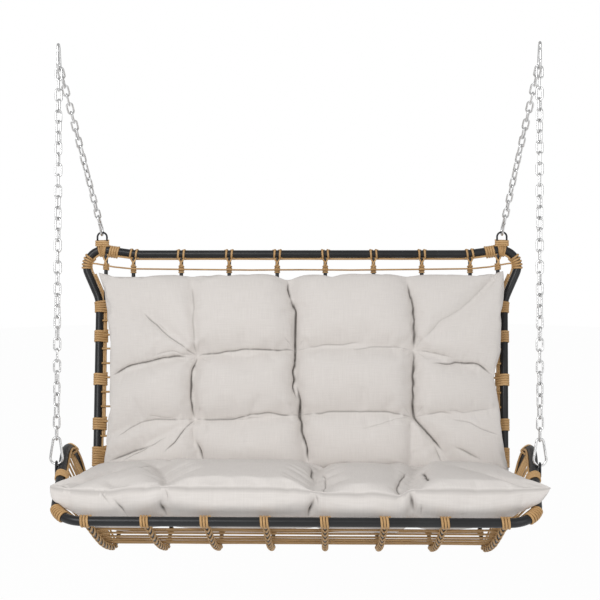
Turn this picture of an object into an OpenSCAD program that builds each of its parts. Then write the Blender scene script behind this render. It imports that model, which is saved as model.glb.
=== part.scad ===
// Porch swing seat: a loop of bent tube carries a basket of wrapped ribs and
// rattan strands, and hangs on four chains from two ceiling hooks.
// Millimetres, +Z up, +Y towards the backrest, origin on the line where the
// two ceiling hooks bear, midway between them.

/* [Rim tube] */
// Width of the front rail between its two bent corners
frame_w = 1244; // [1040:1:1500]
// Depth from the front rail to the feet of the back posts
seat_d = 566; // [475:1:680]
// Height of the top rail above the front rail
back_h = 703; // [590:1:850]
// Lean of the back posts, degrees from upright
back_lean = 19; // [12:0.5:24]
// Height at which the two arm bends would meet, above the front rail
arm_h = 181; // [150:1:215]
// How far each arm flares out past the front corner
arm_flare = 52; // [30:1:70]
// How far each ear of the top rail stands out past the front corner
ear_flare = 103; // [80:1:120]
// Outside diameter of the rim tube
tube_d = 25; // [21:0.5:28]
// Wall of the rim tube where the two halves join
tube_wall = 1.8; // [1.5:0.1:3]
// Height of the tube joints above the front rail
joint_h = 78; // [65:1:110]

/* [Ribs] */
// Number of ribs
rib_count = 8; // [4:1:10]
// Distance from a front corner to the outermost rib
rib_inset = 83; // [70:1:110]
// Diameter of a rib rod
rib_d = 12; // [8:0.5:14]
// Thickness of the woven wrap on the ribs
wrap_t = 3.5; // [2:0.25:5]
// Depth of the basket's floor line below the front rail
basket_drop = 183; // [150:1:220]

/* [Rattan] */
// Diameter of the rattan strands
strand_d = 5.5; // [4:0.25:7]
// Spacing of the strands along the seat
seat_strand_pitch = 44; // [30:1:60]
// Spacing of the strands up the back
back_strand_pitch = 46.5; // [30:0.5:60]
// Diameter of the binding cane
cane_d = 7; // [5:0.25:8]
// Spacing of the turns in a binding
cane_pitch = 7.8; // [7.5:0.1:12]
// Gap between rattan and what it lies against
lay_gap = 0.2; // [0.1:0.05:0.5]

/* [Chains and hooks] */
// Distance between the two ceiling hooks
hang_w = 1364; // [1200:1:1600]
// Links in each front chain
front_links = 34; // [33:1:35]
// Links in each rear chain
rear_links = 18; // [17:1:19]
// Pitch of the chain
link_pitch = 30.8; // [30:0.1:32]
// Wire of the chain
link_wire = 5.5; // [4:0.25:6]
// Outside width of a chain link
link_w = 22.5; // [21:0.5:26]
// Full turn of a front chain from end to end, degrees
front_twist = 360; // [0:10:360]
// Full turn of a rear chain from end to end, degrees
rear_twist = 90; // [0:10:180]
// Length of a snap hook
hook_len = 80; // [76:1:90]
// Width of a snap hook at its wide end
hook_w = 41; // [38:0.5:46]
// Width of a snap hook at its narrow end
hook_neck_w = 27; // [25:0.5:30]
// Wire of a snap hook
hook_wire = 7; // [6:0.25:8]
// Rod of the rings and loops that the hooks clip to
eye_wire = 6; // [5:0.25:7]
// Lean of the hanging seat, degrees back from level
hang_lean = 5.4; // [0:0.1:8]

/* [Cushions] */
// Thickness of the seat cushion at its crown
seat_pad_t = 190; // [150:1:210]
// Height of the seat cushion's front seam above the front rail
seat_seam_h = 80; // [70:1:95]
// Thickness of the back cushion at its crown
back_pad_t = 128; // [100:1:140]
// Depth of the sewn tufts
tuft_depth = 52; // [20:1:60]
// Depth of the folds that join the tufts
fold_depth = 20; // [5:1:30]

/* [Hidden] */
$fn = 40;

charcoal = [0.13, 0.13, 0.14];
tan = [0.72, 0.55, 0.33];
zinc = [0.75, 0.76, 0.78];
linen = [0.84, 0.82, 0.80];

// ---- vectors and turned frames ----

function unit(v) = v / norm(v);
function xyz(p) = [p.x, p.y, p.z];
function flip(p) = [-p.x, p.y, p.z, p[3]];
function reversed(list) = [for (i = [len(list) - 1:-1:0]) list[i]];

// Puts its children's X and Y axes along two square unit vectors at a point
module at_frame(o, ax, ay) {
    az = cross(ax, ay);
    steep = abs(ax.z) > 0.99999;
    turn_x = steep ? atan2(-sign(ax.z) * ay.x, ay.y) : atan2(ay.z, az.z);
    turn_z = steep ? 0 : atan2(ax.y, ax.x);
    translate(o)
        rotate([turn_x, -asin(max(-1, min(1, ax.z))), turn_z])
            children();
}

// A round bar between two points
module rod(a, b, d) {
    span = b - a;
    translate(a)
        rotate([0, acos(span.z / norm(span)), atan2(span.y, span.x)])
            cylinder(d = d, h = norm(span));
}

// ---- bent bars: a path is a list of [x, y, z, bend radius] ----

function run_dir(p, i) = unit(xyz(p[i + 1]) - xyz(p[i]));
function bend_deg(p, i) = acos(min(1, run_dir(p, i - 1) * run_dir(p, i)));
function setback(p, i) =
    i <= 0 || i >= len(p) - 1 ? 0 : p[i][3] * tan(bend_deg(p, i) / 2);
function run_start(p, i) = xyz(p[i]) + run_dir(p, i) * setback(p, i);
function run_end(p, i) = xyz(p[i + 1]) - run_dir(p, i) * setback(p, i + 1);
function bend_in(p, i) =
    let (t = run_dir(p, i - 1), u = run_dir(p, i)) unit(u - t * (t * u));
function arc_len(p, i) = p[i][3] * bend_deg(p, i) * PI / 180;
function run_len(p, i) = norm(run_end(p, i) - run_start(p, i));
function path_len(p) =
    let (runs = [for (i = [0:len(p) - 2]) run_len(p, i)])
    let (arcs = [for (i = [1:1:len(p) - 2]) arc_len(p, i)])
    sum(runs) + sum(arcs);
function sum(list, i = 0) = i >= len(list) ? 0 : list[i] + sum(list, i + 1);

// Point and direction at a length s along a path
function along(p, s, i = 0) =
    let (run = run_len(p, i))
    s <= run || i >= len(p) - 2
        ? [run_start(p, i) + run_dir(p, i) * s, run_dir(p, i)]
        : s - run <= arc_len(p, i + 1)
            ? on_bend(p, i + 1, (s - run) / p[i + 1][3] * 180 / PI)
            : along(p, s - run - arc_len(p, i + 1), i + 1);
function on_bend(p, i, a) =
    let (t = run_dir(p, i - 1), n = bend_in(p, i), r = p[i][3])
    [
        run_end(p, i - 1) + t * r * sin(a) + n * r * (1 - cos(a)),
        t * cos(a) + n * sin(a)
    ];

// Length along a path at which bend i begins
function bend_at(p, i) =
    sum([for (k = [0:1:i - 1]) run_len(p, k)]) + sum([for (k = [1:1:i - 1]) arc_len(p, k)]);

// Bends are a hair thinner than the runs and reach a little way into them
seam = 0.06;
lap = 0.6;

// Part of a ring in the X-Y plane, from the X axis on, lapped at both ends
module bend(angle, r, d)
    rotate([0, 0, -lap / r * 180 / PI])
        rotate_extrude(angle = angle + 2 * lap / r * 180 / PI)
            translate([r, 0])
                circle(d = d - seam);

module bent_bar(p, d) {
    for (i = [0:1:len(p) - 2])
        if (run_len(p, i) > 0.01) rod(run_start(p, i), run_end(p, i), d);
    for (i = [1:1:len(p) - 2])
        if (bend_deg(p, i) > 0.01)
            at_frame(
                run_end(p, i - 1) + bend_in(p, i) * p[i][3],
                -bend_in(p, i),
                run_dir(p, i - 1)
            )
                bend(bend_deg(p, i), p[i][3], d);
}

// Moves a path inwards by d, square to each run and to the loop's own normal
function inset(p, d, normal) =
    [
        for (i = [0:len(p) - 1])
            let (t0 = run_dir(p, max(0, i - 1)), t1 = run_dir(p, min(len(p) - 2, i)))
            let (n0 = unit(cross(normal, t0)), n1 = unit(cross(normal, t1)))
            let (move = (n0 + n1) / (1 + n0 * n1))
            concat(xyz(p[i]) + move * d, max(0, p[i][3] - d))
    ];

// The part of a path between two lengths along it, on the same bends
function cut_path(p, s0, s1) =
    concat(
        [concat(along(p, s0)[0], 0)],
        [
            for (i = [1:1:len(p) - 2])
                if (bend_at(p, i) > s0 && bend_at(p, i) + arc_len(p, i) < s1) p[i]
        ],
        [concat(along(p, s1)[0], 0)]
    );

// ---- windings ----

// Helix of half turns round the Z axis, each second one a hair thinner
module winding(turns, r, d, pitch) {
    rise = pitch / 4;
    arc_r = norm([r, rise]);
    for (k = [0:2 * turns - 1]) {
        s = k % 2 == 0 ? 1 : -1;
        at_frame([0, 0, (2 * k + 1) * rise], unit([s * r, 0, -rise]), [0, s, 0])
            if (s > 0)
                rotate_extrude(angle = 180)
                    translate([arc_r, 0])
                        circle(d = d);
            else
                bend(180, arc_r, d);
    }
}

// Centres a winding on a straight run, its first turn starting at side "from"
module winding_at(o, dir, from, turns, r, d, pitch) {
    ax = unit(from - dir * (dir * from));
    at_frame(o - dir * turns * pitch / 2, ax, cross(dir, ax))
        winding(turns, r, d, pitch);
}

// From a place on a path to where a straight line crosses the plane square to it
function across(line, at) =
    let (d = line[1] - line[0])
    line[0] + d * (((at[0] - line[0]) * at[1]) / (d * at[1])) - at[0];

// Points of a winding that follows a bent path: [point, outward direction].
// With the line of a rod beside the tube it goes round both, starting at the rod.
bend_rings = 12;
function bend_turns(p, s_mid, turns, pitch, from, rod_line = [], rod_r = 0) =
    let (n = turns * bend_rings, reach = rod_r + bend_bind_r - tube_r)
    [
        for (k = [0:n])
            let (at = along(p, s_mid + (k / n - 0.5) * turns * pitch))
            let (away = rod_r > 0 ? across(rod_line, at) : from)
            let (n0 = unit(away - at[1] * (at[1] * away)), b0 = cross(at[1], n0))
            let (a = 360 * k / bend_rings, out = n0 * cos(a) + b0 * sin(a))
            let (grip = rod_r > 0 ? (bend_bind_r - reach) / norm(away) : 2)
            [at[0] + (cos(a) > grip ? away + out * reach : out * bend_bind_r), out]
    ];

// Least distance between turns of a winding, surface to surface
function turn_gap(turn_points, w) =
    min([
        for (i = [0:len(turn_points) - 1], j = [i + bend_rings / 2:1:len(turn_points) - 1])
            norm(turn_points[i][0] - turn_points[j][0])
    ]) - w;

// One unbroken tube of six flats through a list of [point, outward direction]
module cane(turn_points, w, t) {
    last = len(turn_points) - 1;
    sides = 6;
    rings = [
        for (k = [0:last])
            let (go = unit(turn_points[min(k + 1, last)][0] - turn_points[max(k - 1, 0)][0]))
            let (out = unit(turn_points[k][1] - go * (go * turn_points[k][1])), side = cross(go, out))
            for (j = [0:sides - 1])
                let (a = 360 * (j + 0.5) / sides)
                turn_points[k][0] + out * cos(a) * t / 2 + side * sin(a) * w / 2
    ];
    walls = [
        for (k = [0:last - 1], j = [0:sides - 1])
            let (a = k * sides + j, b = k * sides + (j + 1) % sides)
            each [[b, a, a + sides], [b, a + sides, b + sides]]
    ];
    first_cap = [for (j = [1:sides - 2]) [0, j, j + 1]];
    last_cap = [for (j = [1:sides - 2]) [0, j + 1, j] + last * sides * [1, 1, 1]];
    polyhedron(rings, concat(walls, first_cap, last_cap));
}

// ---- the rim's line, right side; the left side is its mirror ----

tube_r = tube_d / 2;
half_w = frame_w / 2;
corner = [half_w, 0, 0, 85];
arm_top = [half_w + arm_flare, seat_d - 141, arm_h, 160];
valley_h = 5;
valley_front = [half_w + arm_flare - 22, seat_d - 46, valley_h, 36];
valley_rear = [half_w - 2, seat_d, valley_h, 36];
post_top_h = back_h - 150;
post_top_y = seat_d + (post_top_h - valley_h) * tan(back_lean);
post_top = [half_w + 23, post_top_y, post_top_h, 120];
rail_y = post_top_y + 19;
ear = [half_w + ear_flare, rail_y, back_h + 27, 54];
rail_bend = [half_w - 92, rail_y, back_h, 250];

post_dir = unit(xyz(post_top) - xyz(valley_rear));
joint = xyz(valley_rear) + post_dir * (joint_h - valley_h) / post_dir.z;
joint_end = concat(joint, 0);

seat_half = [corner, arm_top, valley_front, valley_rear, joint_end];
back_half = [joint_end, post_top, ear, rail_bend];
seat_path = concat([for (p = reversed(seat_half)) flip(p)], seat_half);
back_path = concat([for (p = back_half) flip(p)], reversed(back_half));

function on_post(h) = xyz(valley_rear) + post_dir * (h - valley_h) / post_dir.z;
back_out = [0, cos(back_lean), -sin(back_lean)];
seat_half_line = concat([[0, 0, 0, 0]], seat_half);

// ---- the ribs' line in the Y-Z plane ----

rib_back_y = post_top_y + 2;
rib_back_h = post_top_h + 7;
floor_y = rib_back_y - (rib_back_h + basket_drop) * tan(back_lean);
rib_knee = [0, floor_y * 0.5, -basket_drop * 0.667, 1000];
rib_heel = [0, floor_y, -basket_drop, 130];
rib_path = [
    [0, 0, 0, 0], rib_knee, rib_heel, [0, rib_back_y, rib_back_h, 250], [0, rail_y, back_h, 0]
];
rib_pitch = (frame_w - 2 * rib_inset) / (rib_count - 1);
function rib_x(i) = -half_w + rib_inset + i * rib_pitch;
outer_rib_x = half_w - rib_inset;
wrap_r = rib_d / 2 + wrap_t;
strand_r = strand_d / 2;

// Side of a rib that faces the sitter
function rib_in(dir) = [0, -dir.z, dir.y];

// The wrap ends where the ribs have turned up the back
wrap_start = tube_r + cane_d + 6;
wrap_end = bend_at(rib_path, 2) + arc_len(rib_path, 2) + 60;

seat_strand_from = 42;
seat_strand_n = floor((wrap_end - seat_strand_from - 8) / seat_strand_pitch);
back_strand_from = wrap_end + 22;
top_strand_gap = 52;
back_strand_n = floor(
    (path_len(rib_path) - top_strand_gap - back_strand_from) / back_strand_pitch
);

// Centre of a strand that lies on the ribs at a length s along them
function on_ribs(s, lift) = let (at = along(rib_path, s)) at[0] + rib_in(at[1]) * lift;
seat_lift = wrap_r + lay_gap + strand_r;
back_lift = rib_d / 2 + lay_gap + strand_r;

// ---- where the hooks clip on, and the line that the seat swings about ----

hook_wide_r = (hook_w - hook_wire) / 2;
hook_neck_r = (hook_neck_w - hook_wire) / 2;
hook_span = hook_len - hook_wire - hook_wide_r - hook_neck_r;
seat_gap = 0.15;
swing_gap = 0.8;

// Distances from the centre of a hook's wide end, along the hook
eye_seat = hook_wide_r - hook_wire / 2 - eye_wire / 2 - seat_gap;
neck_seat = hook_span + hook_neck_r - hook_wire / 2 - link_wire / 2 - seat_gap;
swing_seat = hook_wide_r - hook_wire / 2 - link_wire / 2 - swing_gap;
hook_reach = hook_span + hook_neck_r - hook_wire / 2;

link_gap = 0.2;
snug = 0.05;
link_inner = link_pitch + link_gap;
function chain_reach(links) =
    swing_seat + links * link_pitch + link_gap + link_wire + neck_seat + eye_seat;

// Loops on the arms, standing along the outer side of the tube
loop_y = 230;
loop_half = 13;
loop_leg = 36;
arm_dir = unit(xyz(arm_top) - xyz(corner));
loop_along = unit([arm_dir.x, arm_dir.y, 0]);
loop_out = [loop_along.y, -loop_along.x, 0];
loop_rise = 20;
arm_at_loop = xyz(corner) + arm_dir * loop_y / arm_dir.y;
loop_eye = arm_at_loop + loop_out * (tube_r + eye_wire / 2 + lay_gap) + [0, 0, loop_rise];

// Rings that stand on the top rail beside the ears
ring_half = 15.25;
ring_rise = 70;
ring_leg = 52;
ring_eye = [half_w + 19, rail_y, back_h + ring_rise];

// Meeting point of the two chains, from their lengths
hang_x = hang_w / 2;
front_flat = sqrt(pow(chain_reach(front_links), 2) - pow(hang_x - loop_eye.x, 2));
rear_flat = sqrt(pow(chain_reach(rear_links), 2) - pow(hang_x - ring_eye.x, 2));
eye_span = [ring_eye.y - loop_eye.y, ring_eye.z - loop_eye.z];
eye_dist = norm(eye_span);
hang_foot = (front_flat * front_flat - rear_flat * rear_flat + eye_dist * eye_dist) / (2 * eye_dist);
hang_off = sqrt(front_flat * front_flat - hang_foot * hang_foot);
hang_y = loop_eye.y + (eye_span.x * hang_foot - eye_span.y * hang_off) / eye_dist;
hang_z = loop_eye.z + (eye_span.y * hang_foot + eye_span.x * hang_off) / eye_dist;
hang_point = [hang_x, hang_y, hang_z];

// Carries the seat's own frame to where it hangs
module hung()
    translate([0, 0, -hook_reach])
        rotate([-hang_lean, 0, 0])
            translate([0, -hang_y, -hang_z])
                children();

module side(s)
    if (s > 0) children();
    else mirror([1, 0, 0]) children();

module both_sides() {
    children();
    mirror([1, 0, 0]) children();
}

// ---- bindings: how far they stand off the tube and where they sit ----

bind_r = tube_r + cane_d / 2 + lay_gap;
bend_cane_t = 5.2;
bend_cane_w = 6.8;
ear_cane_w = 6;
bend_bind_r = (tube_r + bend_cane_t / 2 + lay_gap) / cos(180 / bend_rings);
bend_pitch = 9.2;
ear_pitch = 9.2;
hump_pitch = 12;
top_bind_pitch = 10;
top_bind_r = bind_r + 0.6;
room_end = cane_d / 2 + 1;

corner_s = bend_at(seat_half_line, 1) + arc_len(seat_half_line, 1) * 0.66;
corner_turns = bend_turns(seat_half_line, corner_s, 5, bend_pitch, [-0.6, 0.3, 1]);
hump_s = bend_at(seat_half_line, 2) + arc_len(seat_half_line, 2) * 0.5;
hump_turns = bend_turns(seat_half_line, hump_s, 2, hump_pitch, [-1, 0, 0]);
arm_bind = xyz(corner) + arm_dir * (loop_y - 34) / arm_dir.y;
ear_s = bend_at(back_half, 2) + arc_len(back_half, 2) * 0.32;
ear_turns = bend_turns(back_half, ear_s, 5, ear_pitch, [-1, 0, 0]);
ring_bind_s = bend_at(back_half, 3) - 74;
ring_bind = along(back_half, ring_bind_s);

// Bindings up the posts; the top one also holds the foot of the ear rod
post_bind_h = [post_top_h * 0.315, post_top_h * 0.559, post_top_h * 0.797];
rod_bind_s = bend_at(back_half, 1) + 6;
ear_rod_d = rib_d;
ear_rod_h = post_top_h - 36;
ear_rod_top = [half_w + 6, rail_y, back_h + 12];
ear_rod_foot = on_post(ear_rod_h) - [tube_r + ear_rod_d / 2 + lay_gap, 0, 0];
ear_rod_line = [ear_rod_foot, ear_rod_top];
rod_turns = bend_turns(back_half, rod_bind_s, 4, bend_pitch, [-1, 0, 0], ear_rod_line, ear_rod_d / 2);

echo(corner_turn_gap = turn_gap(corner_turns, bend_cane_w));
echo(hump_turn_gap = turn_gap(hump_turns, bend_cane_w));
echo(ear_turn_gap = turn_gap(ear_turns, ear_cane_w));
echo(rod_turn_gap = turn_gap(rod_turns, bend_cane_w));

// ---- how the strands lie ----

rim_lay = tube_r + strand_r + lay_gap;
rail_strand_x = outer_rib_x - 1;
arm_strand_lead = 158; // how far the arm's strand starts before the arm bends down
seat_strand_x = outer_rib_x + 1; // ends on the outer ribs, short of the side strands' feet
side_strand_n = 13;
side_strand_pitch = 34;
side_foot_pitch = 30;

// ---- rim ----

sleeve_r = tube_r - tube_wall;
sleeve_half = 45;

module joint_bore()
    both_sides()
        rod(joint - post_dir * sleeve_half, joint + post_dir * sleeve_half, 2 * sleeve_r);

module seat_rim_tube()
    color(charcoal)
        hung()
            difference() {
                bent_bar(seat_path, tube_d);
                joint_bore();
            }

module back_rim_tube()
    color(charcoal)
        hung()
            difference() {
                bent_bar(back_path, tube_d);
                joint_bore();
            }

module rim_joint_sleeves()
    color(zinc)
        hung()
            both_sides()
                rod(
                    joint - post_dir * (sleeve_half - 1),
                    joint + post_dir * (sleeve_half - 1),
                    2 * (sleeve_r - 0.1)
                );

// Short rods that close the ears, from the top rail down to the posts
module ear_rod_room()
    rod(ear_rod_foot, ear_rod_top, ear_rod_d + 2 * lay_gap);

module ear_rod(s)
    color(charcoal)
        hung()
            side(s)
                difference() {
                    rod(ear_rod_foot, ear_rod_top, ear_rod_d);
                    bent_bar(back_half, tube_d + 2 * lay_gap);
                }

// ---- ribs ----

module rib(i)
    color(charcoal)
        hung()
            translate([rib_x(i), 0, 0])
                difference() {
                    bent_bar(rib_path, rib_d);
                    for (end = [[0, 0], [rail_y, back_h]])
                        translate([-rib_d, end.x, end.y])
                            rotate([0, 90, 0])
                                cylinder(r = tube_r, h = 2 * rib_d);
                }

module rib_wraps()
    color(tan)
        hung()
            for (i = [0:rib_count - 1])
                translate([rib_x(i), 0, 0])
                    difference() {
                        bent_bar(cut_path(rib_path, wrap_start, wrap_end), 2 * wrap_r);
                        bent_bar(rib_path, rib_d + 2 * snug);
                    }

// ---- bindings ----

// Room that a binding on the rim leaves around itself, for what it crosses
module binding_room(o, dir, turns, pitch)
    rod(
        o - dir * (turns * pitch / 2 + room_end),
        o + dir * (turns * pitch / 2 + room_end),
        2 * (bind_r + cane_d / 2 + lay_gap)
    );

module ribs_cut()
    for (i = [0:rib_count - 1])
        translate([rib_x(i), 0, 0]) {
            rod(xyz(rib_path[0]), on_ribs(tube_r + 2 * cane_d, 0), rib_d + 2 * lay_gap);
            rod(
                xyz(rib_path[4]),
                on_ribs(path_len(rib_path) - tube_r - 2 * cane_d, 0),
                rib_d + 2 * lay_gap
            );
        }

module rail_bindings()
    color(tan)
        hung()
            difference() {
                for (i = [0:rib_count - 1])
                    winding_at([rib_x(i), 0, 0], [1, 0, 0], [0, 0.4, 1], 3, bind_r, cane_d, cane_pitch);
                ribs_cut();
            }

// Puts a piece where a rib meets the top rail; the outer ones lie on its bends
module top_place(i) {
    x = abs(rib_x(i));
    on_bend_s = where_x(back_half, x, bend_at(back_half, 3) - 40, path_len(back_half));
    at = x > rail_bend.x - 20 ? along(back_half, on_bend_s) : [[x, rail_y, back_h], [-1, 0, 0]];
    side(rib_x(i))
        translate(at[0])
            rotate([0, atan(at[1].z / at[1].x), 0] * -1)
                children();
}

module top_bindings()
    color(tan)
        hung()
            difference() {
                for (i = [0:rib_count - 1])
                    top_place(i)
                        winding_at([0, 0, 0], [1, 0, 0], [0, 0.4, 1], 2, top_bind_r, cane_d, top_bind_pitch);
                ribs_cut();
            }

module corner_bindings()
    color(tan)
        hung()
            both_sides()
                cane(corner_turns, bend_cane_w, bend_cane_t);

module arm_bindings()
    color(tan)
        hung()
            both_sides()
                winding_at(arm_bind, arm_dir, [-1, 0, 0], 3, bind_r, cane_d, cane_pitch);

module arm_top_bindings()
    color(tan)
        hung()
            both_sides()
                cane(hump_turns, bend_cane_w, bend_cane_t);

module post_bindings()
    color(tan)
        hung()
            both_sides()
                for (h = post_bind_h)
                    winding_at(on_post(h), post_dir, [-1, 0, 0], 4, bind_r, cane_d, cane_pitch);

module ear_rod_bindings()
    color(tan)
        hung()
            both_sides()
                cane(rod_turns, bend_cane_w, bend_cane_t);

module post_foot_bindings()
    color(tan)
        hung()
            both_sides()
                winding_at(joint, post_dir, [-1, 0, 0], 7, bind_r, cane_d, cane_pitch);

module ear_bindings()
    color(tan)
        hung()
            both_sides()
                cane(ear_turns, ear_cane_w, bend_cane_t);

module ring_bindings()
    color(tan)
        hung()
            both_sides()
                winding_at(ring_bind[0], ring_bind[1], [0, 0, -1], 3, bind_r, cane_d, cane_pitch);

// ---- strands ----

// Every binding on the right half of the rim
module rim_binding_rooms() {
    binding_room(arm_bind, arm_dir, 3, cane_pitch);
    binding_room(joint, post_dir, 7, cane_pitch);
    for (h = post_bind_h) binding_room(on_post(h), post_dir, 4, cane_pitch);
    bend_room(back_half, rod_bind_s, 4, bend_pitch, ear_rod_d);
    bend_room(back_half, ear_s, 5, ear_pitch, 1);
    bend_room(seat_half_line, hump_s, 2, hump_pitch, 0);
    binding_room(ring_bind[0], ring_bind[1], 3, cane_pitch);
}

// Straight room across a short stretch of a bend
module bend_room(p, s_mid, turns, pitch, more) {
    at = along(p, s_mid);
    half = turns * pitch / 2 + room_end;
    rod(at[0] - at[1] * half, at[0] + at[1] * half, 2 * (bend_bind_r + cane_d / 2 + more + 1.5));
}

module rim_strands()
    color(tan)
        hung()
            difference() {
                union() {
                    both_sides()
                        for (d = [rim_lay, rim_lay + strand_d + lay_gap]) {
                            line = inset(back_half, d + lay_gap, -back_out);
                            first = d > rim_lay ? 60 : 12;
                            last = d > rim_lay ? bend_at(line, 2) - 10 : path_len(line) - 1;
                            bent_bar(cut_path(line, first, last), strand_d);
                        }
                    both_sides()
                        translate([-rim_lay - lay_gap, 0, 0])
                            bent_bar(
                                cut_path(
                                    seat_half_line,
                                    bend_at(seat_half_line, 2) - arm_strand_lead,
                                    bend_at(seat_half_line, 3) - 4
                                ),
                                strand_d
                            );
                    rod(
                        [-rail_strand_x, rail_y, back_h - rim_lay],
                        [rail_strand_x, rail_y, back_h - rim_lay],
                        strand_d
                    );
                }
                both_sides() {
                    rim_binding_rooms();
                    ear_rod_room();
                }
                for (i = [0:rib_count - 1])
                    binding_room([rib_x(i), rail_y, back_h], [1, 0, 0], 2, top_bind_pitch);
            }

module seat_strands()
    color(tan)
        hung()
            for (k = [0:seat_strand_n - 1]) {
                at = on_ribs(seat_strand_from + k * seat_strand_pitch, seat_lift);
                rod(at - [seat_strand_x, 0, 0], at + [seat_strand_x, 0, 0], strand_d);
            }

// Sideways reach of a strand on the back at a height h
function back_reach(h) =
    h < post_top_h - 20
        ? on_post(h).x - 11
        : post_top.x + (h - post_top_h) * (ear.x - post_top.x) / (ear.z - post_top_h) - 14;

module back_strands()
    color(tan)
        hung()
            difference() {
                union() {
                    for (k = [0:back_strand_n - 1]) {
                        at = on_ribs(back_strand_from + k * back_strand_pitch, back_lift);
                        reach = [back_reach(at.z), 0, 0];
                        rod(at - reach, at + reach, strand_d);
                    }
                }
                both_sides() {
                    rim_binding_rooms();
                    ear_rod_room();
                }
            }

// Strands of the side panels, from the outer rib up to the arm
module side_strands(s)
    color(tan)
        hung()
            side(s)
                difference() {
                    for (k = [0:side_strand_n - 1]) {
                        low = on_ribs(seat_strand_from + (k + 2.5) * side_foot_pitch, 0);
                        rim = along(seat_half_line, half_w + 55 + k * side_strand_pitch)[0];
                        foot = low + [outer_rib_x, 0, 0];
                        away = unit(foot - rim);
                        rod(foot - away * (wrap_r - 1), rim + away * (tube_r - 1), strand_d);
                    }
                    translate([outer_rib_x, 0, 0]) bent_bar(rib_path, 2 * (wrap_r + lay_gap));
                    bent_bar(seat_half_line, tube_d + 2 * lay_gap);
                    rim_binding_rooms();
                }

// ---- rings and loops that the hooks clip to ----

// Length along a path, between lo and hi, at which it comes in to a width x
function where_x(p, x, lo, hi) =
    let (mid = (lo + hi) / 2)
    hi - lo < 0.01 ? mid : along(p, mid)[0].x > x ? where_x(p, x, mid, hi) : where_x(p, x, lo, mid);

module ring(s)
    color(charcoal)
        hung()
            side(s)
                difference() {
                    hoop(ring_eye, [1, 0, 0], [0, 0, 1], ring_half, ring_leg);
                    for (leg = [-1, 1]) {
                        from = bend_at(back_half, 2) + arc_len(back_half, 2) / 2;
                        x = ring_eye.x + leg * ring_half;
                        at = along(back_half, where_x(back_half, x, from, path_len(back_half)));
                        rod(at[0] - at[1] * ring_half * 0.8, at[0] + at[1] * ring_half * 0.8, tube_d);
                    }
                }

module arm_loop(s)
    color(charcoal)
        hung()
            side(s)
                hoop(loop_eye, loop_along, [0, 0, 1], loop_half, loop_leg);

// An arch of round rod: the top of its centre line at "eye", its legs down
module hoop(eye, across, up, half, leg) {
    mid = eye - up * half;
    for (s = [-1, 1])
        rod(mid + across * half * s, eye + across * half * s - up * leg, eye_wire);
    at_frame(mid, across, up)
        bend(180, half, eye_wire);
}

// ---- chains ----

module link() {
    arc_r = (link_w - link_wire) / 2;
    leg = (link_inner + link_wire) / 2 - arc_r;
    for (s = [-1, 1]) {
        translate([s * arc_r, 0, -leg]) cylinder(d = link_wire, h = 2 * leg);
        translate([0, 0, s * leg])
            rotate([90 * s, 0, 0])
                rotate_extrude(angle = 180)
                    translate([arc_r, 0])
                        circle(d = link_wire);
    }
}

// Links from the hang point towards an eye; the first one faces the front
module chain(links, eye, twist) {
    down = unit(eye - hang_point);
    face = unit([1, 0, 0] - down * down.x);
    edge = cross(down, face);
    for (k = [0:links - 1]) {
        turn = 90 * k + twist * k / (links - 1);
        mid = swing_seat + k * link_pitch + (link_inner + link_wire) / 2;
        at_frame(
            hang_point + down * mid,
            face * cos(turn) + edge * sin(turn),
            edge * cos(turn) - face * sin(turn)
        )
            link();
    }
}

module chain_front(s)
    color(zinc) hung() side(s) chain(front_links, loop_eye, front_twist);

module chain_rear(s)
    color(zinc) hung() side(s) chain(rear_links, ring_eye, rear_twist);

// ---- snap hooks: X across towards the gate, Y from the wide end to the narrow ----

hook_taper = asin((hook_wide_r - hook_neck_r) / hook_span);
hook_side = sqrt(pow(hook_span, 2) - pow(hook_wide_r - hook_neck_r, 2));
hinge_drop = 11.7;
tab_t = 2.6;
tab_r = 3.1;
fork_w = 3.1;
pin_d = 2.4;
gate_d = hook_wire - 0.4;
gate_len = hook_side - hinge_drop - lap - 0.4;
neck_side = [hook_neck_r * cos(hook_taper), hook_span + hook_neck_r * sin(hook_taper), 0];
wide_side = [hook_wide_r * cos(hook_taper), hook_wide_r * sin(hook_taper), 0];
gate_along = [sin(hook_taper), -cos(hook_taper), 0];
gate_out = [cos(hook_taper), sin(hook_taper), 0];
gate_hinge = neck_side + gate_along * hinge_drop;

// X from the gate's hinge along the closed gate, Y out of the hook
module gate_frame()
    at_frame(gate_hinge, gate_along, gate_out)
        children();

module hook_body() {
    difference() {
        union() {
            rod(flip_x(wide_side), flip_x(neck_side), hook_wire);
            rotate([0, 0, 180 - hook_taper]) bend(180 + 2 * hook_taper, hook_wide_r, hook_wire);
            translate([0, hook_span, 0])
                rotate([0, 0, hook_taper])
                    bend(180 - 2 * hook_taper, hook_neck_r, hook_wire);
            rod(neck_side, neck_side + gate_along * (hinge_drop - tab_r - 1.3), hook_wire);
            gate_frame() {
                translate([0, 0, -tab_t / 2]) cylinder(r = tab_r, h = tab_t);
                translate([-tab_r - 2.3, -tab_r, -tab_t / 2]) cube([tab_r + 2.3, 2 * tab_r, tab_t]);
                translate([gate_len - 4.6, -1.1, -tab_t / 2]) cube([6, 4.2, tab_t]);
            }
        }
        gate_frame()
            translate([0, 0, -tab_t])
                cylinder(d = pin_d, h = 2 * tab_t);
    }
}

function flip_x(v) = [-v.x, v.y, v.z];

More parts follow.
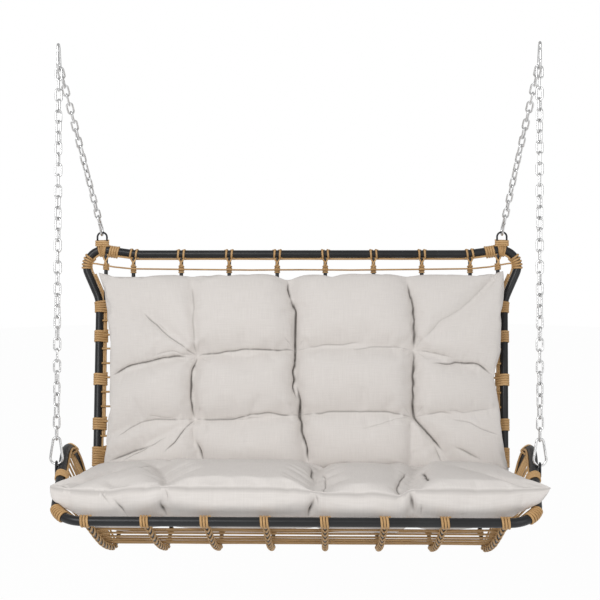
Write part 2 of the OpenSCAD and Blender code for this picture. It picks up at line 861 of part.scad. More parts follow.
module gate_body()
    gate_frame()
        difference() {
            union() {
                rotate([0, 90, 0]) cylinder(d = gate_d, h = gate_len);
                translate([0, 0, -gate_d / 2 + 0.4]) cylinder(r = tab_r, h = gate_d - 0.8);
            }
            translate([-gate_d, -gate_d, -fork_w / 2]) cube([gate_d + tab_r + 0.9, 2 * gate_d, fork_w]);
            translate([gate_len - 5.6, -1.5, -fork_w / 2]) cube([6, gate_d, fork_w]);
            translate([0, 0, -gate_d]) cylinder(d = pin_d + 0.2, h = 2 * gate_d);
            rotate([0, 90, 0]) cylinder(d = spring_bore, h = gate_len * 0.6);
        }

spring_bore = 3.8;
spring_wire = 0.5;
spring_turns = 7;

module gate_spring_coil()
    gate_frame()
        translate([tab_r + 0.3, 0, 0])
            rotate([0, 90, 0])
                winding(spring_turns, (spring_bore - spring_wire) / 2 - 0.2, spring_wire, 1.9);

module gate_pin()
    gate_frame()
        translate([0, 0, -hook_wire / 2])
            cylinder(d = pin_d - 0.04, h = hook_wire);

// Places of the hooks: top ones stand still, the others hang on the seat
module hook_at(place, s)
    side(s)
        if (place == "top")
            at_frame([hang_x, 0, -hook_reach], [0, -1, 0], [0, 0, 1]) children();
        else if (place == "front")
            hook_on_eye(loop_eye, [1, 0, 0]) children();
        else
            hook_on_eye(ring_eye, [0, -1, 0]) children();

module hook_on_eye(eye, gate_side) {
    up = unit(hang_point - eye);
    at_frame(eye + up * eye_seat, unit(gate_side - up * (up * gate_side)), up)
        children();
}

module placed(place)
    if (place == "top") children();
    else hung() children();

module hook(place, s) color(zinc) placed(place) hook_at(place, s) hook_body();
module gate(place, s) color(zinc) placed(place) hook_at(place, s) gate_body();
module gate_spring(place, s) color(zinc) placed(place) hook_at(place, s) gate_spring_coil();

module gate_pins(places)
    color(zinc)
        for (place = places, s = [-1, 1])
            placed(place) hook_at(place, s) gate_pin();

// ---- cushions: two sheets of one grid, sewn together along their edge ----

// Closed skin of a pillow: top and bottom points over an even grid of u and v
module pillow(tops, bottoms, nu, nv) {
    row = nu + 1;
    count = row * (nv + 1);
    inner = [
        for (j = [1:nv - 1], i = [1:nu - 1]) bottoms[j * row + i]
    ];
    function low(i, j) =
        i == 0 || j == 0 || i == nu || j == nv
            ? j * row + i
            : count + (j - 1) * (nu - 1) + i - 1;
    faces = [
        for (j = [0:nv - 1], i = [0:nu - 1])
            let (a = j * row + i, b = a + 1, c = a + row + 1, d = a + row)
            let (e = low(i, j), f = low(i + 1, j), g = low(i + 1, j + 1), h = low(i, j + 1))
            each (i < nu / 2) == (j < nv / 2)
                ? [[a, c, b], [a, d, c], [e, f, g], [e, g, h]]
                : [[a, d, b], [b, d, c], [e, f, h], [f, g, h]]
    ];
    polyhedron(concat(tops, inner), faces);
}

// Grid step that crowds towards both edges
function eased(i, n) = sin(90 * (2 * i / n - 1));
function bulge(t, power) = pow(max(0, 1 - pow(abs(t), power)), 0.5);
function dent(d, width) = exp(-pow(d / width, 2));

// Height of the seat's floor at a depth y, on top of its strands
floor_line = [
    for (s = [10:20:path_len(rib_path) - 120])
        let (at = on_ribs(s, seat_lift + strand_r + 1))
        [at.y, at.z]
];

// Steepness of the side panels at a depth y, from the outer rib up to the arm
side_slopes = [
    for (s = [half_w + 20:20:half_w + 480])
        let (arm = along(seat_half_line, s)[0])
        let (rise = arm.z - lookup(arm.y, floor_line) + seat_lift + strand_r + 1)
        [arm.y, min(1.9, rise / (arm.x - outer_rib_x))]
];

seat_nu = 30;
seat_nv = 14;
seat_back_y = seat_d - 24;
seat_front_y = 34;

function seat_seam(u, v) =
    let (half = half_w + 30 * pow(max(0, -v), 3) - 6 * (1 - v * v))
    let (mid = (seat_front_y + seat_back_y) / 2, reach = (seat_back_y - seat_front_y) / 2)
    let (t = (v + 1) / 2)
    [
        u * half,
        mid + v * reach - (1 - u * u) * 14 * pow(max(0, -v), 5),
        seat_seam_h * (1 - 0.95 * pow(t, 3)) - 6 * (1 - u * u) * pow(1 - t, 4)
    ];

// Folds that run back from the front seam: [x, depth, slant]
seat_folds = [[-470, 9, 0.2], [-40, 7, -0.1], [20, 8, 0.25], [245, 9, -0.15], [-590, 12, 0.5]];

function seat_creases(p, v) =
    sum([for (f = seat_folds) f[1] * dent(p.x - f[0] - f[2] * p.y, 26)]) * pow((1 - v) / 2, 1.5);

function seat_top(u, v) =
    let (p = seat_seam(u, v), swell = bulge(u, 6) * bulge(v, 3))
    let (crown = 34 + 52 * pow((v + 1) / 2, 2))
    p + [0, 0, swell * (crown - seat_creases(p, v))];

function seat_bottom(u, v) =
    let (p = seat_seam(u, v), swell = bulge(u, 6) * bulge(v, 4))
    let (z = p.z - swell * (seat_pad_t - 46))
    let (side_rise = max(0, abs(p.x) - outer_rib_x) * lookup(p.y, side_slopes))
    [
        p.x * (1 - 0.02 * swell * pow(abs(u), 3)),
        p.y + (v < -0.5 ? 10 * swell : 0),
        min(p.z - 1, max(z, lookup(p.y, floor_line) + side_rise + 4))
    ];

module seat_cushion()
    color(linen)
        hung()
            pillow(
                [for (j = [0:seat_nv], i = [0:seat_nu]) seat_top(eased(i, seat_nu), eased(j, seat_nv))],
                [for (j = [0:seat_nv], i = [0:seat_nu]) seat_bottom(eased(i, seat_nu), eased(j, seat_nv))],
                seat_nu,
                seat_nv
            );

// The back cushion is laid out on the plane of the back: across, up and out
back_nu = 36;
back_nv = 16;
back_dir = run_dir(rib_path, 2);
back_face = rib_in(back_dir);
back_pad_low = 219;
back_pad_high = back_h + 154;
back_pad_lie = back_lift + strand_r + 0.3;
back_seam_lift = 52;
back_pad_mid = (back_pad_low + back_pad_high) / 2;
back_pad_half = (back_pad_high - back_pad_low) / 2;
tuft_x = [-half_w * 0.505, -half_w * 0.018, half_w * 0.551];
tuft_h = [back_pad_mid - 98, back_pad_mid + 108];

function on_back(a, b, c) = xyz(rib_heel) + [a, 0, 0] + back_dir * b + back_face * c;

function back_seam(u, v) =
    let (half = half_w + 23 - 42 * pow(1 - v * v, 1.2))
    [
        u * half,
        back_pad_mid + v * (back_pad_half - 12 * (1 - pow(u, 4))),
        back_seam_lift
    ];

// Distance from a point to the stretch between two points
function off_line(p, a, b) =
    let (d = b - a, t = max(0, min(1, ((p - a) * d) / (d * d))))
    norm(p - a - d * t);

corner_a = half_w + 5;
fold_lines = concat(
    [for (x = tuft_x) [[x, tuft_h[0]], [x, tuft_h[1]]]],
    [for (h = tuft_h, i = [0:1]) [[tuft_x[i], h], [tuft_x[i + 1], h]]],
    [for (x = tuft_x) [[x, tuft_h[1]], [x + 8, back_pad_high]]],
    [for (x = tuft_x) [[x, tuft_h[0]], [x, back_pad_low]]],
    [for (s = [0, 2], k = [0, 1])
        [[tuft_x[s], tuft_h[k]], [(s - 1) * corner_a, k == 0 ? back_pad_low : back_pad_high]]],
    [for (s = [0, 2], k = [0, 1])
        [[tuft_x[s], tuft_h[k]], [(s - 1) * (half_w - 37), back_pad_mid + (k - 0.5) * 40]]]
);

function back_dents(p) =
    let (at = [p.x, p.y])
    let (tufts = max([for (x = tuft_x, h = tuft_h) tuft_depth * dent(norm(at - [x, h]), 34)]))
    let (folds = max([for (f = fold_lines) fold_depth * dent(off_line(at, f[0], f[1]), 20)]))
    max(tufts, folds);

function back_front(u, v) =
    let (p = back_seam(u, v), swell = bulge(u, 5) * bulge(v, 4))
    on_back(p.x, p.y, p.z + swell * (back_pad_t - back_seam_lift - 0.95 * back_dents(p)));

function back_rear(u, v) =
    let (p = back_seam(u, v), swell = bulge(u, 5) * bulge(v, 4))
    on_back(p.x, p.y, p.z - swell * (back_seam_lift - back_pad_lie));

module back_cushion()
    color(linen)
        hung()
            pillow(
                [for (j = [0:back_nv], i = [0:back_nu]) back_front(eased(i, back_nu), eased(j, back_nv))],
                [for (j = [0:back_nv], i = [0:back_nu]) back_rear(eased(i, back_nu), eased(j, back_nv))],
                back_nu,
                back_nv
            );

seat_rim_tube();
back_rim_tube();
rim_joint_sleeves();
ear_rod(-1);  // ear_rod_left
ear_rod(1);  // ear_rod_right
for (i = [1:rib_count])
    rib(i - 1);
rib_wraps();
rail_bindings();
corner_bindings();
arm_bindings();
arm_top_bindings();
post_bindings();
ear_rod_bindings();
post_foot_bindings();
ear_bindings();
top_bindings();
ring_bindings();
rim_strands();
seat_strands();
back_strands();
side_strands(-1);  // side_strands_left
side_strands(1);  // side_strands_right
ring(-1);  // ring_left
ring(1);  // ring_right
arm_loop(-1);  // arm_loop_left
arm_loop(1);  // arm_loop_right
chain_front(-1);  // chain_front_left
chain_front(1);  // chain_front_right
chain_rear(-1);  // chain_rear_left
chain_rear(1);  // chain_rear_right
for (place = ["top", "front", "rear"], s = [-1, 1]) {
    tail = str(place, s < 0 ? "_left" : "_right");
    hook(place, s);
    gate(place, s);
    gate_spring(place, s);
}
gate_pins(["top"]);  // gate_pins_top
gate_pins(["front", "rear"]);  // gate_pins_seat
seat_cushion();
back_cushion();
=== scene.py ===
# Porch swing seat: cane, cushions, finishes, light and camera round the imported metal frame.
import math

import bmesh
import bpy
import numpy as np
from mathutils import Matrix, Vector, kdtree, noise


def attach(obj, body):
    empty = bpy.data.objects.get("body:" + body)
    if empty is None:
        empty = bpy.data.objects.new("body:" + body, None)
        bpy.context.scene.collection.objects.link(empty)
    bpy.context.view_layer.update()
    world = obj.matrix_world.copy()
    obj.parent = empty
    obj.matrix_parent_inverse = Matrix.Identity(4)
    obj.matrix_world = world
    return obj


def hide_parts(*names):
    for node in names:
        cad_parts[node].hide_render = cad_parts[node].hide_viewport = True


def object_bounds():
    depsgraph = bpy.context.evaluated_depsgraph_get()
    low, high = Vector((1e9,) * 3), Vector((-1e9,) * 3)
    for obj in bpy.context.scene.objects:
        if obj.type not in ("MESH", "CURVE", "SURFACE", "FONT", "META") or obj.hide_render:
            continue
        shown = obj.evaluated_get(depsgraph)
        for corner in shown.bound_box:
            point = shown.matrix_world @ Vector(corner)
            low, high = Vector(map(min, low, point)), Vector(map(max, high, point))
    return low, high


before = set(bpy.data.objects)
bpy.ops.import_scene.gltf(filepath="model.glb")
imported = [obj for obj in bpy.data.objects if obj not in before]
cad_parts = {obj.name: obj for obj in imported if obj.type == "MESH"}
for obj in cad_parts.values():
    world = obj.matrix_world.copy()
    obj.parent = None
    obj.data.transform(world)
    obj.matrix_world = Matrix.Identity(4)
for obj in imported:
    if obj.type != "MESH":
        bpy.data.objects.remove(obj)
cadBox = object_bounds()
noise.seed_set(6)  # noise_vector starts from the clock without it
print("frame loaded:", len(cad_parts), "nodes")

# The seat's own frame: X right, Y back, Z up, zero at the middle of the front rail
hang = dict(
    point=Vector((0.682, 0.346646, 1.23436)),  # where the chains meet
    drop=0.0525,  # from the line that the seat swings about to that point
    lean=math.radians(5.4),
)
seatToRow = (
    Matrix.Translation((0, 0, -hang["drop"]))
    @ Matrix.Rotation(-hang["lean"], 4, "X")
    @ Matrix.Translation((0, -hang["point"].y, -hang["point"].z))
)

# Corners of the rim and the ribs, [x, y, z, bend radius] in metres
rim = dict(
    tube=0.025,
    corner=(0.622, 0, 0, 0.085),
    armTop=(0.674, 0.425, 0.181, 0.16),
    valleyFront=(0.652, 0.52, 0.005, 0.036),
    valleyRear=(0.62, 0.566, 0.005, 0.036),
    postTop=(0.645, 0.7547, 0.553, 0.12),
    ear=(0.725, 0.7737, 0.73, 0.054),
    railBend=(0.53, 0.7737, 0.703, 0.25),
    railEnd=(0, 0.7737, 0.703, 0),
)
rib = dict(
    rod=0.012,
    across=[(-0.539 + 0.154 * i) for i in range(8)],
    line=[
        (0, 0, 0, 0),
        (0, 0.2523, -0.122, 1.0),
        (0, 0.5046, -0.183, 0.13),
        (0, 0.7567, 0.56, 0.25),
        (0, 0.7737, 0.703, 0),
    ],
)
earRod = dict(
    foot=Vector((0.624658, 0.742296, 0.517)),
    top=Vector((0.628, 0.773692, 0.715)),
    radius=0.006,
)


class BentLine:
    # A line of straight runs and round bends, walked by its length
    bendStep = math.radians(4)
    aside = 0.003  # either way of a place, for the line's direction there
    searched = 800

    def __init__(self, corners):
        pts = [Vector(c[:3]) for c in corners]
        path = [pts[0]]
        bendStarts = {}
        for i in range(1, len(pts) - 1):
            a = (pts[i] - pts[i - 1]).normalized()
            b = (pts[i + 1] - pts[i]).normalized()
            turn = a.angle(b)
            bendStarts[i] = len(path)
            radius = corners[i][3]
            if turn < 1e-4 or radius == 0:
                path.append(pts[i])
                continue
            reach = radius * math.tan(turn / 2)
            inward = (b - a * a.dot(b)).normalized()
            centre = pts[i] - a * reach + inward * radius
            count = max(3, int(turn / self.bendStep))
            for k in range(count + 1):
                t = turn * k / count
                path.append(centre - inward * radius * math.cos(t) + a * radius * math.sin(t))
        path.append(pts[-1])
        self.pts = path
        self.at = [0.0]
        for p, q in zip(path, path[1:]):
            self.at.append(self.at[-1] + max(1e-7, (q - p).length))
        self.length = self.at[-1]
        self.bends = {i: self.at[k] for i, k in bendStarts.items()}

    def point(self, s):
        s = min(max(s, 0.0), self.length)
        i = next((k for k in range(len(self.at) - 1) if self.at[k + 1] >= s), len(self.at) - 2)
        f = (s - self.at[i]) / (self.at[i + 1] - self.at[i])
        return self.pts[i].lerp(self.pts[i + 1], f)

    def direction(self, s):
        return (self.point(s + self.aside) - self.point(s - self.aside)).normalized()

    def nearest(self, test):
        # Length along the line where test(point) is least
        places = [k * self.length / self.searched for k in range(self.searched + 1)]
        return min(places, key=lambda s: test(self.point(s)))


seatSide = BentLine(
    [(0, 0, 0, 0)] + [rim[k] for k in ("corner", "armTop", "valleyFront", "valleyRear", "postTop")]
)
backSide = BentLine([rim[k] for k in ("valleyRear", "postTop", "ear", "railBend", "railEnd")])
ribLine = BentLine(rib["line"])

# A flat strip of cane, swept along points
cane = dict(
    thick=0.0046,
    sides=8,
    fullness=0.8,  # of its section: 1 is an ellipse, less is nearer to an oblong
    lay=0.0002,  # gap to what it is wound on
)


def layCane(bm, points, outs, width, thick, tint, closed=False):
    # Outs point away from what the strip lies on; its UV runs along it and round it
    uv = bm.loops.layers.uv.verify()
    count = len(points)
    sides = cane["sides"]
    rings = []
    along = [0.0]
    for k in range(count):
        if closed:
            go = (points[(k + 1) % count] - points[k - 1]).normalized()
        else:
            go = (points[min(k + 1, count - 1)] - points[max(k - 1, 0)]).normalized()
        out = (outs[k] - go * go.dot(outs[k])).normalized()
        side = go.cross(out)
        ring = []
        for j in range(sides):
            a = 2 * math.pi * (j + 0.5) / sides
            c, s = (math.copysign(abs(t) ** cane["fullness"], t) for t in (math.cos(a), math.sin(a)))
            ring.append(bm.verts.new(points[k] + out * c * thick / 2 + side * s * width / 2))
        rings.append(ring)
        if k:
            along.append(along[-1] + (points[k] - points[k - 1]).length)
    total = along[-1] + (points[0] - points[-1]).length
    last = count if closed else count - 1
    for k in range(last):
        nxt = (k + 1) % count
        u0 = along[k]
        u1 = along[nxt] if nxt else total
        for j in range(sides):
            j1 = (j + 1) % sides
            face = bm.faces.new((rings[k][j1], rings[k][j], rings[nxt][j], rings[nxt][j1]))
            face.smooth = True
            corners = ((u0, j + 1), (u0, j), (u1, j), (u1, j + 1))
            for loop, (u, v) in zip(face.loops, corners):
                # The tint gives each strip its own place in the pattern
                loop[uv].uv = (u + tint * 3.7, v / sides + math.floor(tint * 97) * 2)
    if not closed:
        bm.faces.new(rings[0])
        bm.faces.new(list(reversed(rings[-1])))


def finishPiece(name, bm, material):
    mesh = bpy.data.meshes.new(name)
    bmesh.ops.transform(bm, matrix=seatToRow, verts=bm.verts)
    bm.to_mesh(mesh)
    bm.free()
    piece = bpy.data.objects.new(name, mesh)
    bpy.context.scene.collection.objects.link(piece)
    mesh.materials.append(material)
    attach(piece, "seat")
    return piece


class Socket:
    # A node's socket; sums of sockets add their Math nodes

    def __init__(self, build, link):
        self.build = build
        self.link = link

    def math(self, operation, other=None, swap=False):
        pair = [other, self] if swap else [self, other]
        values = {i: p for i, p in enumerate(pair) if p is not None}
        return self.build.add("ShaderNodeMath", dict(operation=operation), values)

    def __add__(self, other):
        return self.math("ADD", other)

    def __sub__(self, other):
        return self.math("SUBTRACT", other)

    def __mul__(self, other):
        return self.math("MULTIPLY", other)

    def __radd__(self, other):
        return self.math("ADD", other, swap=True)

    def __rsub__(self, other):
        return self.math("SUBTRACT", other, swap=True)

    def __rmul__(self, other):
        return self.math("MULTIPLY", other, swap=True)

    def clamped(self):
        return self.math("MAXIMUM", 0.0).math("MINIMUM", 1.0)


class Finish:
    # One node tree, of a new material or of the world

    def __init__(self, name=None, tree=None):
        if tree:
            self.tree = tree
            return
        self.material = bpy.data.materials.new(name)
        self.material.use_nodes = True
        self.tree = self.material.node_tree
        self.shader = self.tree.nodes["Principled BSDF"]

    def add(self, kind, settings=None, inputs=None, output=0):
        node = self.tree.nodes.new(kind)
        for key, value in (settings or {}).items():
            if key == "stops":
                stops = node.color_ramp.elements
                while len(stops) < len(value):
                    stops.new(0.5)
                for stop, (place, colour) in zip(stops, value):
                    stop.position = place
                    stop.color = (*colour, 1)
            else:
                setattr(node, key, value)
        for key, value in (inputs or {}).items():
            self.feed(node.inputs[key], value)
        return Socket(self, node.outputs[output])

    def feed(self, target, value):
        if isinstance(value, Socket):
            self.tree.links.new(value.link, target)
        elif isinstance(value, tuple) and target.type == "RGBA":
            target.default_value = (*value, 1)
        else:
            target.default_value = value

    def coordinates(self, output="Object"):
        return self.add("ShaderNodeTexCoord", output=output)

    def scaled(self, vector, scale):
        return self.add("ShaderNodeMapping", None, {"Vector": vector, "Scale": scale})

    def noise(self, vector, scale, detail=3.0, roughness=0.5):
        inputs = {"Vector": vector, "Scale": scale, "Detail": detail, "Roughness": roughness}
        return self.add("ShaderNodeTexNoise", None, inputs)

    def waves(self, vector, direction, scale):
        inputs = {"Vector": vector, "Scale": scale}
        inputs |= {"Distortion": 1.2, "Detail": 2.0, "Detail Scale": 3.0}
        return self.add("ShaderNodeTexWave", dict(bands_direction=direction), inputs, output=1)

    def ramp(self, value, stops):
        return self.add("ShaderNodeValToRGB", dict(stops=stops), {"Fac": value})

    def mix(self, factor, a, b):
        return self.add("ShaderNodeMix", dict(data_type="RGBA"), {0: factor, 6: a, 7: b}, output=2)

    def bump(self, height, strength, distance):
        inputs = {"Height": height, "Strength": strength, "Distance": distance}
        return self.add("ShaderNodeBump", None, inputs)

    def surface(self, **values):
        for key, value in values.items():
            self.feed(self.shader.inputs[key.replace("_", " ")], value)
        return self.material


def grey(v):
    return (v, v, v)


def shaded(colour, shade):
    return tuple(c * shade for c in colour)


coatLook = dict(
    dark=(0.013, 0.0135, 0.0145),
    pale=(0.021, 0.0215, 0.023),
    clouds=9.0,
    grain=1400.0,
    roughness=0.30,
    specular=0.34,
)


def makeBlackCoat():
    f = Finish("satin_charcoal_coat")
    where = f.coordinates()
    grain = f.noise(where, coatLook["grain"], 2.0)
    cloud = f.noise(where, coatLook["clouds"])
    return f.surface(
        Base_Color=f.ramp(cloud, [(0.3, coatLook["dark"]), (0.7, coatLook["pale"])]),
        Roughness=cloud * 0.12 + coatLook["roughness"],
        Specular_IOR_Level=coatLook["specular"],
        Normal=f.bump(grain, 0.12, 0.0004),
    )


caneLook = dict(
    tones=[
        (0.28, (0.20, 0.105, 0.036)),
        (0.46, (0.42, 0.245, 0.096)),
        (0.62, (0.56, 0.345, 0.150)),
        (0.80, (0.66, 0.43, 0.205)),
    ],
    dark=(0.30, 0.165, 0.06),
    pale=(0.70, 0.48, 0.25),
    roughness=0.42,
)


def makeCane(name, shade):
    f = Finish(name)
    uv = f.coordinates("UV")
    fibres = f.noise(f.scaled(uv, (26.0, 22.0, 1.0)), 1.0, 4.0, 0.65)
    lengthwise = f.noise(f.scaled(uv, (9.0, 3.0, 1.0)), 1.0, 2.0)
    strip = f.noise(f.scaled(uv, (0.6, 0.35, 1.0)), 1.0, 0.0)
    base = f.ramp(fibres, [(place, shaded(colour, shade)) for place, colour in caneLook["tones"]])
    darker = f.mix((lengthwise - 0.35).clamped() * 0.9, base, shaded(caneLook["dark"], shade))
    colour = f.mix((strip - 0.45).clamped() * 1.1, darker, shaded(caneLook["pale"], shade))
    rough = fibres * 0.25 + caneLook["roughness"]
    return f.surface(Base_Color=colour, Roughness=rough, Normal=f.bump(fibres, 0.55, 0.0006))


zincLook = dict(dark=0.60, pale=0.80, blotches=90.0, grain=900.0, roughness=0.2)


def makeZinc():
    f = Finish("bright_zinc")
    where = f.coordinates()
    blotch = f.noise(where, zincLook["blotches"])
    fine = f.noise(where, zincLook["grain"], 2.0)
    return f.surface(
        Base_Color=f.ramp(blotch, [(0.3, grey(zincLook["dark"])), (0.7, grey(zincLook["pale"]))]),
        Metallic=1.0,
        Roughness=blotch * 0.16 + zincLook["roughness"],
        Normal=f.bump(fine, 0.08, 0.0002),
    )


linenLook = dict(
    dark=(0.660, 0.622, 0.592),
    pale=(0.755, 0.718, 0.688),
    gaps=(0.56, 0.525, 0.495),  # between the threads
    # Painted shade: the colour the cloth is darkened towards along its creases and seam
    folds=(0.075, 0.065, 0.055),
    threads=260.0,
    slubLong=18.0,
    slubFine=520.0,
    roughness=0.88,
)


def makeLinen():
    f = Finish("linen_cloth")
    uv = f.coordinates("UV")
    threads = (f.waves(uv, "X", linenLook["threads"]) + f.waves(uv, "Y", linenLook["threads"])) * 0.5
    long, fine = linenLook["slubLong"], linenLook["slubFine"]
    slubAcross = f.noise(f.scaled(uv, (long, fine, 1.0)), 1.0, 3.0, 0.6)
    slubUp = f.noise(f.scaled(uv, (fine, long, 1.0)), 1.0, 3.0, 0.6)
    slub = (slubAcross + slubUp) * 0.5
    tone = f.ramp(slub, [(0.3, linenLook["dark"]), (0.7, linenLook["pale"])])
    woven = f.mix(threads * 0.2, tone, linenLook["gaps"])
    # Painted shade: the cloth is darkened along its creases and seam, as an attribute of the cushion says
    crease = f.add("ShaderNodeAttribute", dict(attribute_name="crease"), output=2)
    return f.surface(
        Base_Color=f.mix(crease, woven, linenLook["folds"]),
        Roughness=linenLook["roughness"],
        Normal=f.bump(threads * 0.5 + slub, 0.35, 0.0005),
    )


coat = makeBlackCoat()
# One cane made twice, as painted light and shade: a lighter copy for the cane out on the frame, a darker
# copy for the strands and lashings under and behind the cushions
caneLitCopy = makeCane("tan_cane_lit_copy", 1.12)
caneShadedCopy = makeCane("tan_cane_shaded_copy", 1.04)
zinc = makeZinc()
linen = makeLinen()
print("finishes made")


def paint(nodes, material):
    for node in nodes:
        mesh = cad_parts[node].data
        mesh.materials.clear()
        mesh.materials.append(material)


coated = ("seat_rim", "back_rim", "ear_rod_l", "ear_rod_r", "ring_l", "ring_r", "arm_loop", "rib_")
tied = ("_bindings", "_strands", "_wraps", "strands_left", "strands_right")
names = list(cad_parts)
paint([n for n in names if n.startswith(("chain_", "hook_", "gate_", "rim_joint"))], zinc)
paint([n for n in names if n.startswith(coated)], coat)
paint([n for n in names if n.endswith(tied)], caneLitCopy)
paint(["seat_cushion", "back_cushion"], linen)


def mirrorAfter(bm, first):
    # Mirrors what was added after the first so many vertices
    verts = bm.verts[:][first:]
    bmesh.ops.scale(bm, vec=(-1, 1, 1), verts=verts)
    bmesh.ops.reverse_faces(bm, faces=list({f for v in verts for f in v.link_faces}))


def mirrorBoth(build):
    # Builds the right side and adds its mirror image
    bm = bmesh.new()
    build(bm)
    copy = bmesh.ops.duplicate(bm, geom=bm.verts[:] + bm.edges[:] + bm.faces[:])
    verts = [g for g in copy["geom"] if isinstance(g, bmesh.types.BMVert)]
    faces = [g for g in copy["geom"] if isinstance(g, bmesh.types.BMFace)]
    bmesh.ops.scale(bm, vec=(-1, 1, 1), verts=verts)
    bmesh.ops.reverse_faces(bm, faces=faces)
    return bm


binding = dict(
    width=0.0074,
    pitch=0.0076,
    perTurn=20,
    # Where each one sits: a height, a place in depth, a length along its line, or a point
    post=(0.1742, 0.3091, 0.4407),
    earRod=0.5335,
    foot=0.0772,
    ear=(0.688, 0.768, 0.677),
    ring=(0.6033, 0.7737, 0.7131),
    arm=0.196,
    armTop=0.406,
    corner=(0.6158, 0.0335, 0.0143),
    cornerStart=Vector((-0.6, 0.3, 1)),
)
inner = Vector((-1, 0, 0))
tubeR = rim["tube"] / 2
strandR = 0.00275
strandOff = (0.0157, 0.0214)  # middles of the two strands beside the tube, from its own middle
onTube = [(Vector((0, 0, 0)), tubeR)]
oneStrand = onTube + [(inner * strandOff[0], strandR)]
twoStrands = oneStrand + [(inner * strandOff[1], strandR)]
strandBelow = onTube + [(Vector((0, 0, -strandOff[0])), strandR)]


def windTurns(
    bm, line, middle, turns, cores, tint, pitch=binding["pitch"], width=binding["width"], start=inner
):
    # Winds cane round the hull of round bars, each given by its offset from the line and its radius
    count = int(turns * binding["perTurn"])
    points, outs = [], []
    for k in range(count + 1):
        f = k / count
        s = middle + (f - 0.5) * turns * pitch
        at, go = line.point(s), line.direction(s)
        n0 = (start - go * go.dot(start)).normalized()
        a = 2 * math.pi * turns * f
        out = n0 * math.cos(a) + go.cross(n0) * math.sin(a)
        bars = cores(at, go) if callable(cores) else cores
        square = [(off - go * go.dot(off), r) for off, r in bars]
        off, r = max(square, key=lambda bar: bar[0].dot(out) + bar[1])
        points.append(at + off + out * (r + cane["lay"] + cane["thick"] / 2))
        outs.append(out)
    # Ease the jumps from one bar to the next
    for _ in range(2):
        eased = [(points[i - 1] + points[i] * 2 + points[i + 1]) / 4 for i in range(1, count)]
        points = [points[0]] + eased + [points[-1]]
    layCane(bm, points, outs, width, cane["thick"], tint)


def onPost(z):
    behind = rim["valleyRear"][1] + 0.004  # leaves out the bend at the post's foot
    return backSide.nearest(lambda p: abs(p.z - z) + (0 if p.y > behind else 1))


def atPoint(line, x, y, z):
    return line.nearest(lambda p: (p - Vector((x, y, z))).length)


def withEarRod(at, go):
    run = earRod["top"] - earRod["foot"]
    f = (at.z - earRod["foot"].z) / run.z
    return twoStrands + [(earRod["foot"] + run * f - at, earRod["radius"])]


def buildPostBindings(bm):
    for i, z in enumerate(binding["post"]):
        windTurns(bm, backSide, onPost(z), 5, twoStrands, 0.11 + i * 0.27)


def buildEarRodBindings(bm):
    windTurns(bm, backSide, onPost(binding["earRod"]), 5, withEarRod, 0.91)


def buildFootBindings(bm):
    post = BentLine([rim["valleyRear"], rim["postTop"]])
    windTurns(bm, post, binding["foot"], 8, twoStrands, 0.43)


def buildEarBindings(bm):
    bars = onTube + [(Vector((-0.008, 0, -0.013)), strandR)]
    s = atPoint(backSide, *binding["ear"])
    windTurns(bm, backSide, s, 5, bars, 0.57, pitch=0.0088, width=0.0072)


def buildRingBindings(bm):
    windTurns(bm, backSide, atPoint(backSide, *binding["ring"]), 4, strandBelow, 0.33)


def buildArmBindings(bm):
    s = seatSide.nearest(lambda p: abs(p.y - binding["arm"]) + (0 if p.z > 0 else 1))
    windTurns(bm, seatSide, s, 4, oneStrand, 0.77)


def buildArmTopBindings(bm):
    s = seatSide.nearest(lambda p: abs(p.y - binding["armTop"]) + (0 if p.z > 0.05 else 1))
    windTurns(bm, seatSide, s, 2.5, oneStrand, 0.21, pitch=0.0082)


def buildCornerBindings(bm):
    s = atPoint(seatSide, *binding["corner"])
    windTurns(bm, seatSide, s, 6, onTube, 0.63, pitch=0.0084, start=binding["cornerStart"])


windings = dict(
    post_bindings=buildPostBindings,
    ear_rod_bindings=buildEarRodBindings,
    post_foot_bindings=buildFootBindings,
    ear_bindings=buildEarBindings,
    ring_bindings=buildRingBindings,
    arm_bindings=buildArmBindings,
    arm_top_bindings=buildArmTopBindings,
    corner_bindings=buildCornerBindings,
)


def addCane(name, bm, material, node=None):
    piece = finishPiece(name, bm, material)
    if node:
        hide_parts(node)


for name, build in windings.items():
    addCane("cane_" + name, mirrorBoth(build), caneLitCopy, name)

# Bindings of the ribs on the front rail and the top rail, and the lashings along the ribs
onRail = dict(
    half=0.6,
    pitch=0.0076,
    topPitch=0.0066,
    width=0.0064,
    start=Vector((0, 0.5, 1)),
    apart=0.0088,
)
lash = dict(
    strandPitch=0.044,
    first=0.042,
    strands=14,
    turns=2,
    turnPitch=0.0066,
    dip=0.040,  # of the V
    sharp=1.6,
    width=0.0050,
    thick=0.0034,
    perLoop=20,
    # The flat turns behind the rail
    closing=3,
    closingFirst=0.0205,
    closingPitch=0.0052,
    closingDip=0.003,
)
crossing = dict(
    top=0.014,  # below the rail's middle
    knot=0.042,
    apart=0.0095,
    sweep=0.016,
    off=0.0078,
    over=0.003,
    steps=8,
    width=0.0052,
    thick=0.0036,
    wraps=4,
    wrapPitch=0.0062,
    wrapsBelow=0.017,
)
railLine = BentLine([(-onRail["half"], 0, 0, 0), (onRail["half"], 0, 0, 0)])


def ribFace(s):
    # A point on the rib, the way towards the sitter and the way along
    go = ribLine.direction(s)
    return ribLine.point(s), Vector((0, -go.z, go.y)), go


def buildRailBindings():
    bm = bmesh.new()
    for i, x in enumerate(rib["across"]):
        tint = 0.05 + i * 0.113
        along = x + onRail["half"]
        pitch, width, start = onRail["pitch"], onRail["width"], onRail["start"]
        windTurns(bm, railLine, along, 3, onTube, tint, pitch, width, start)
    return bm


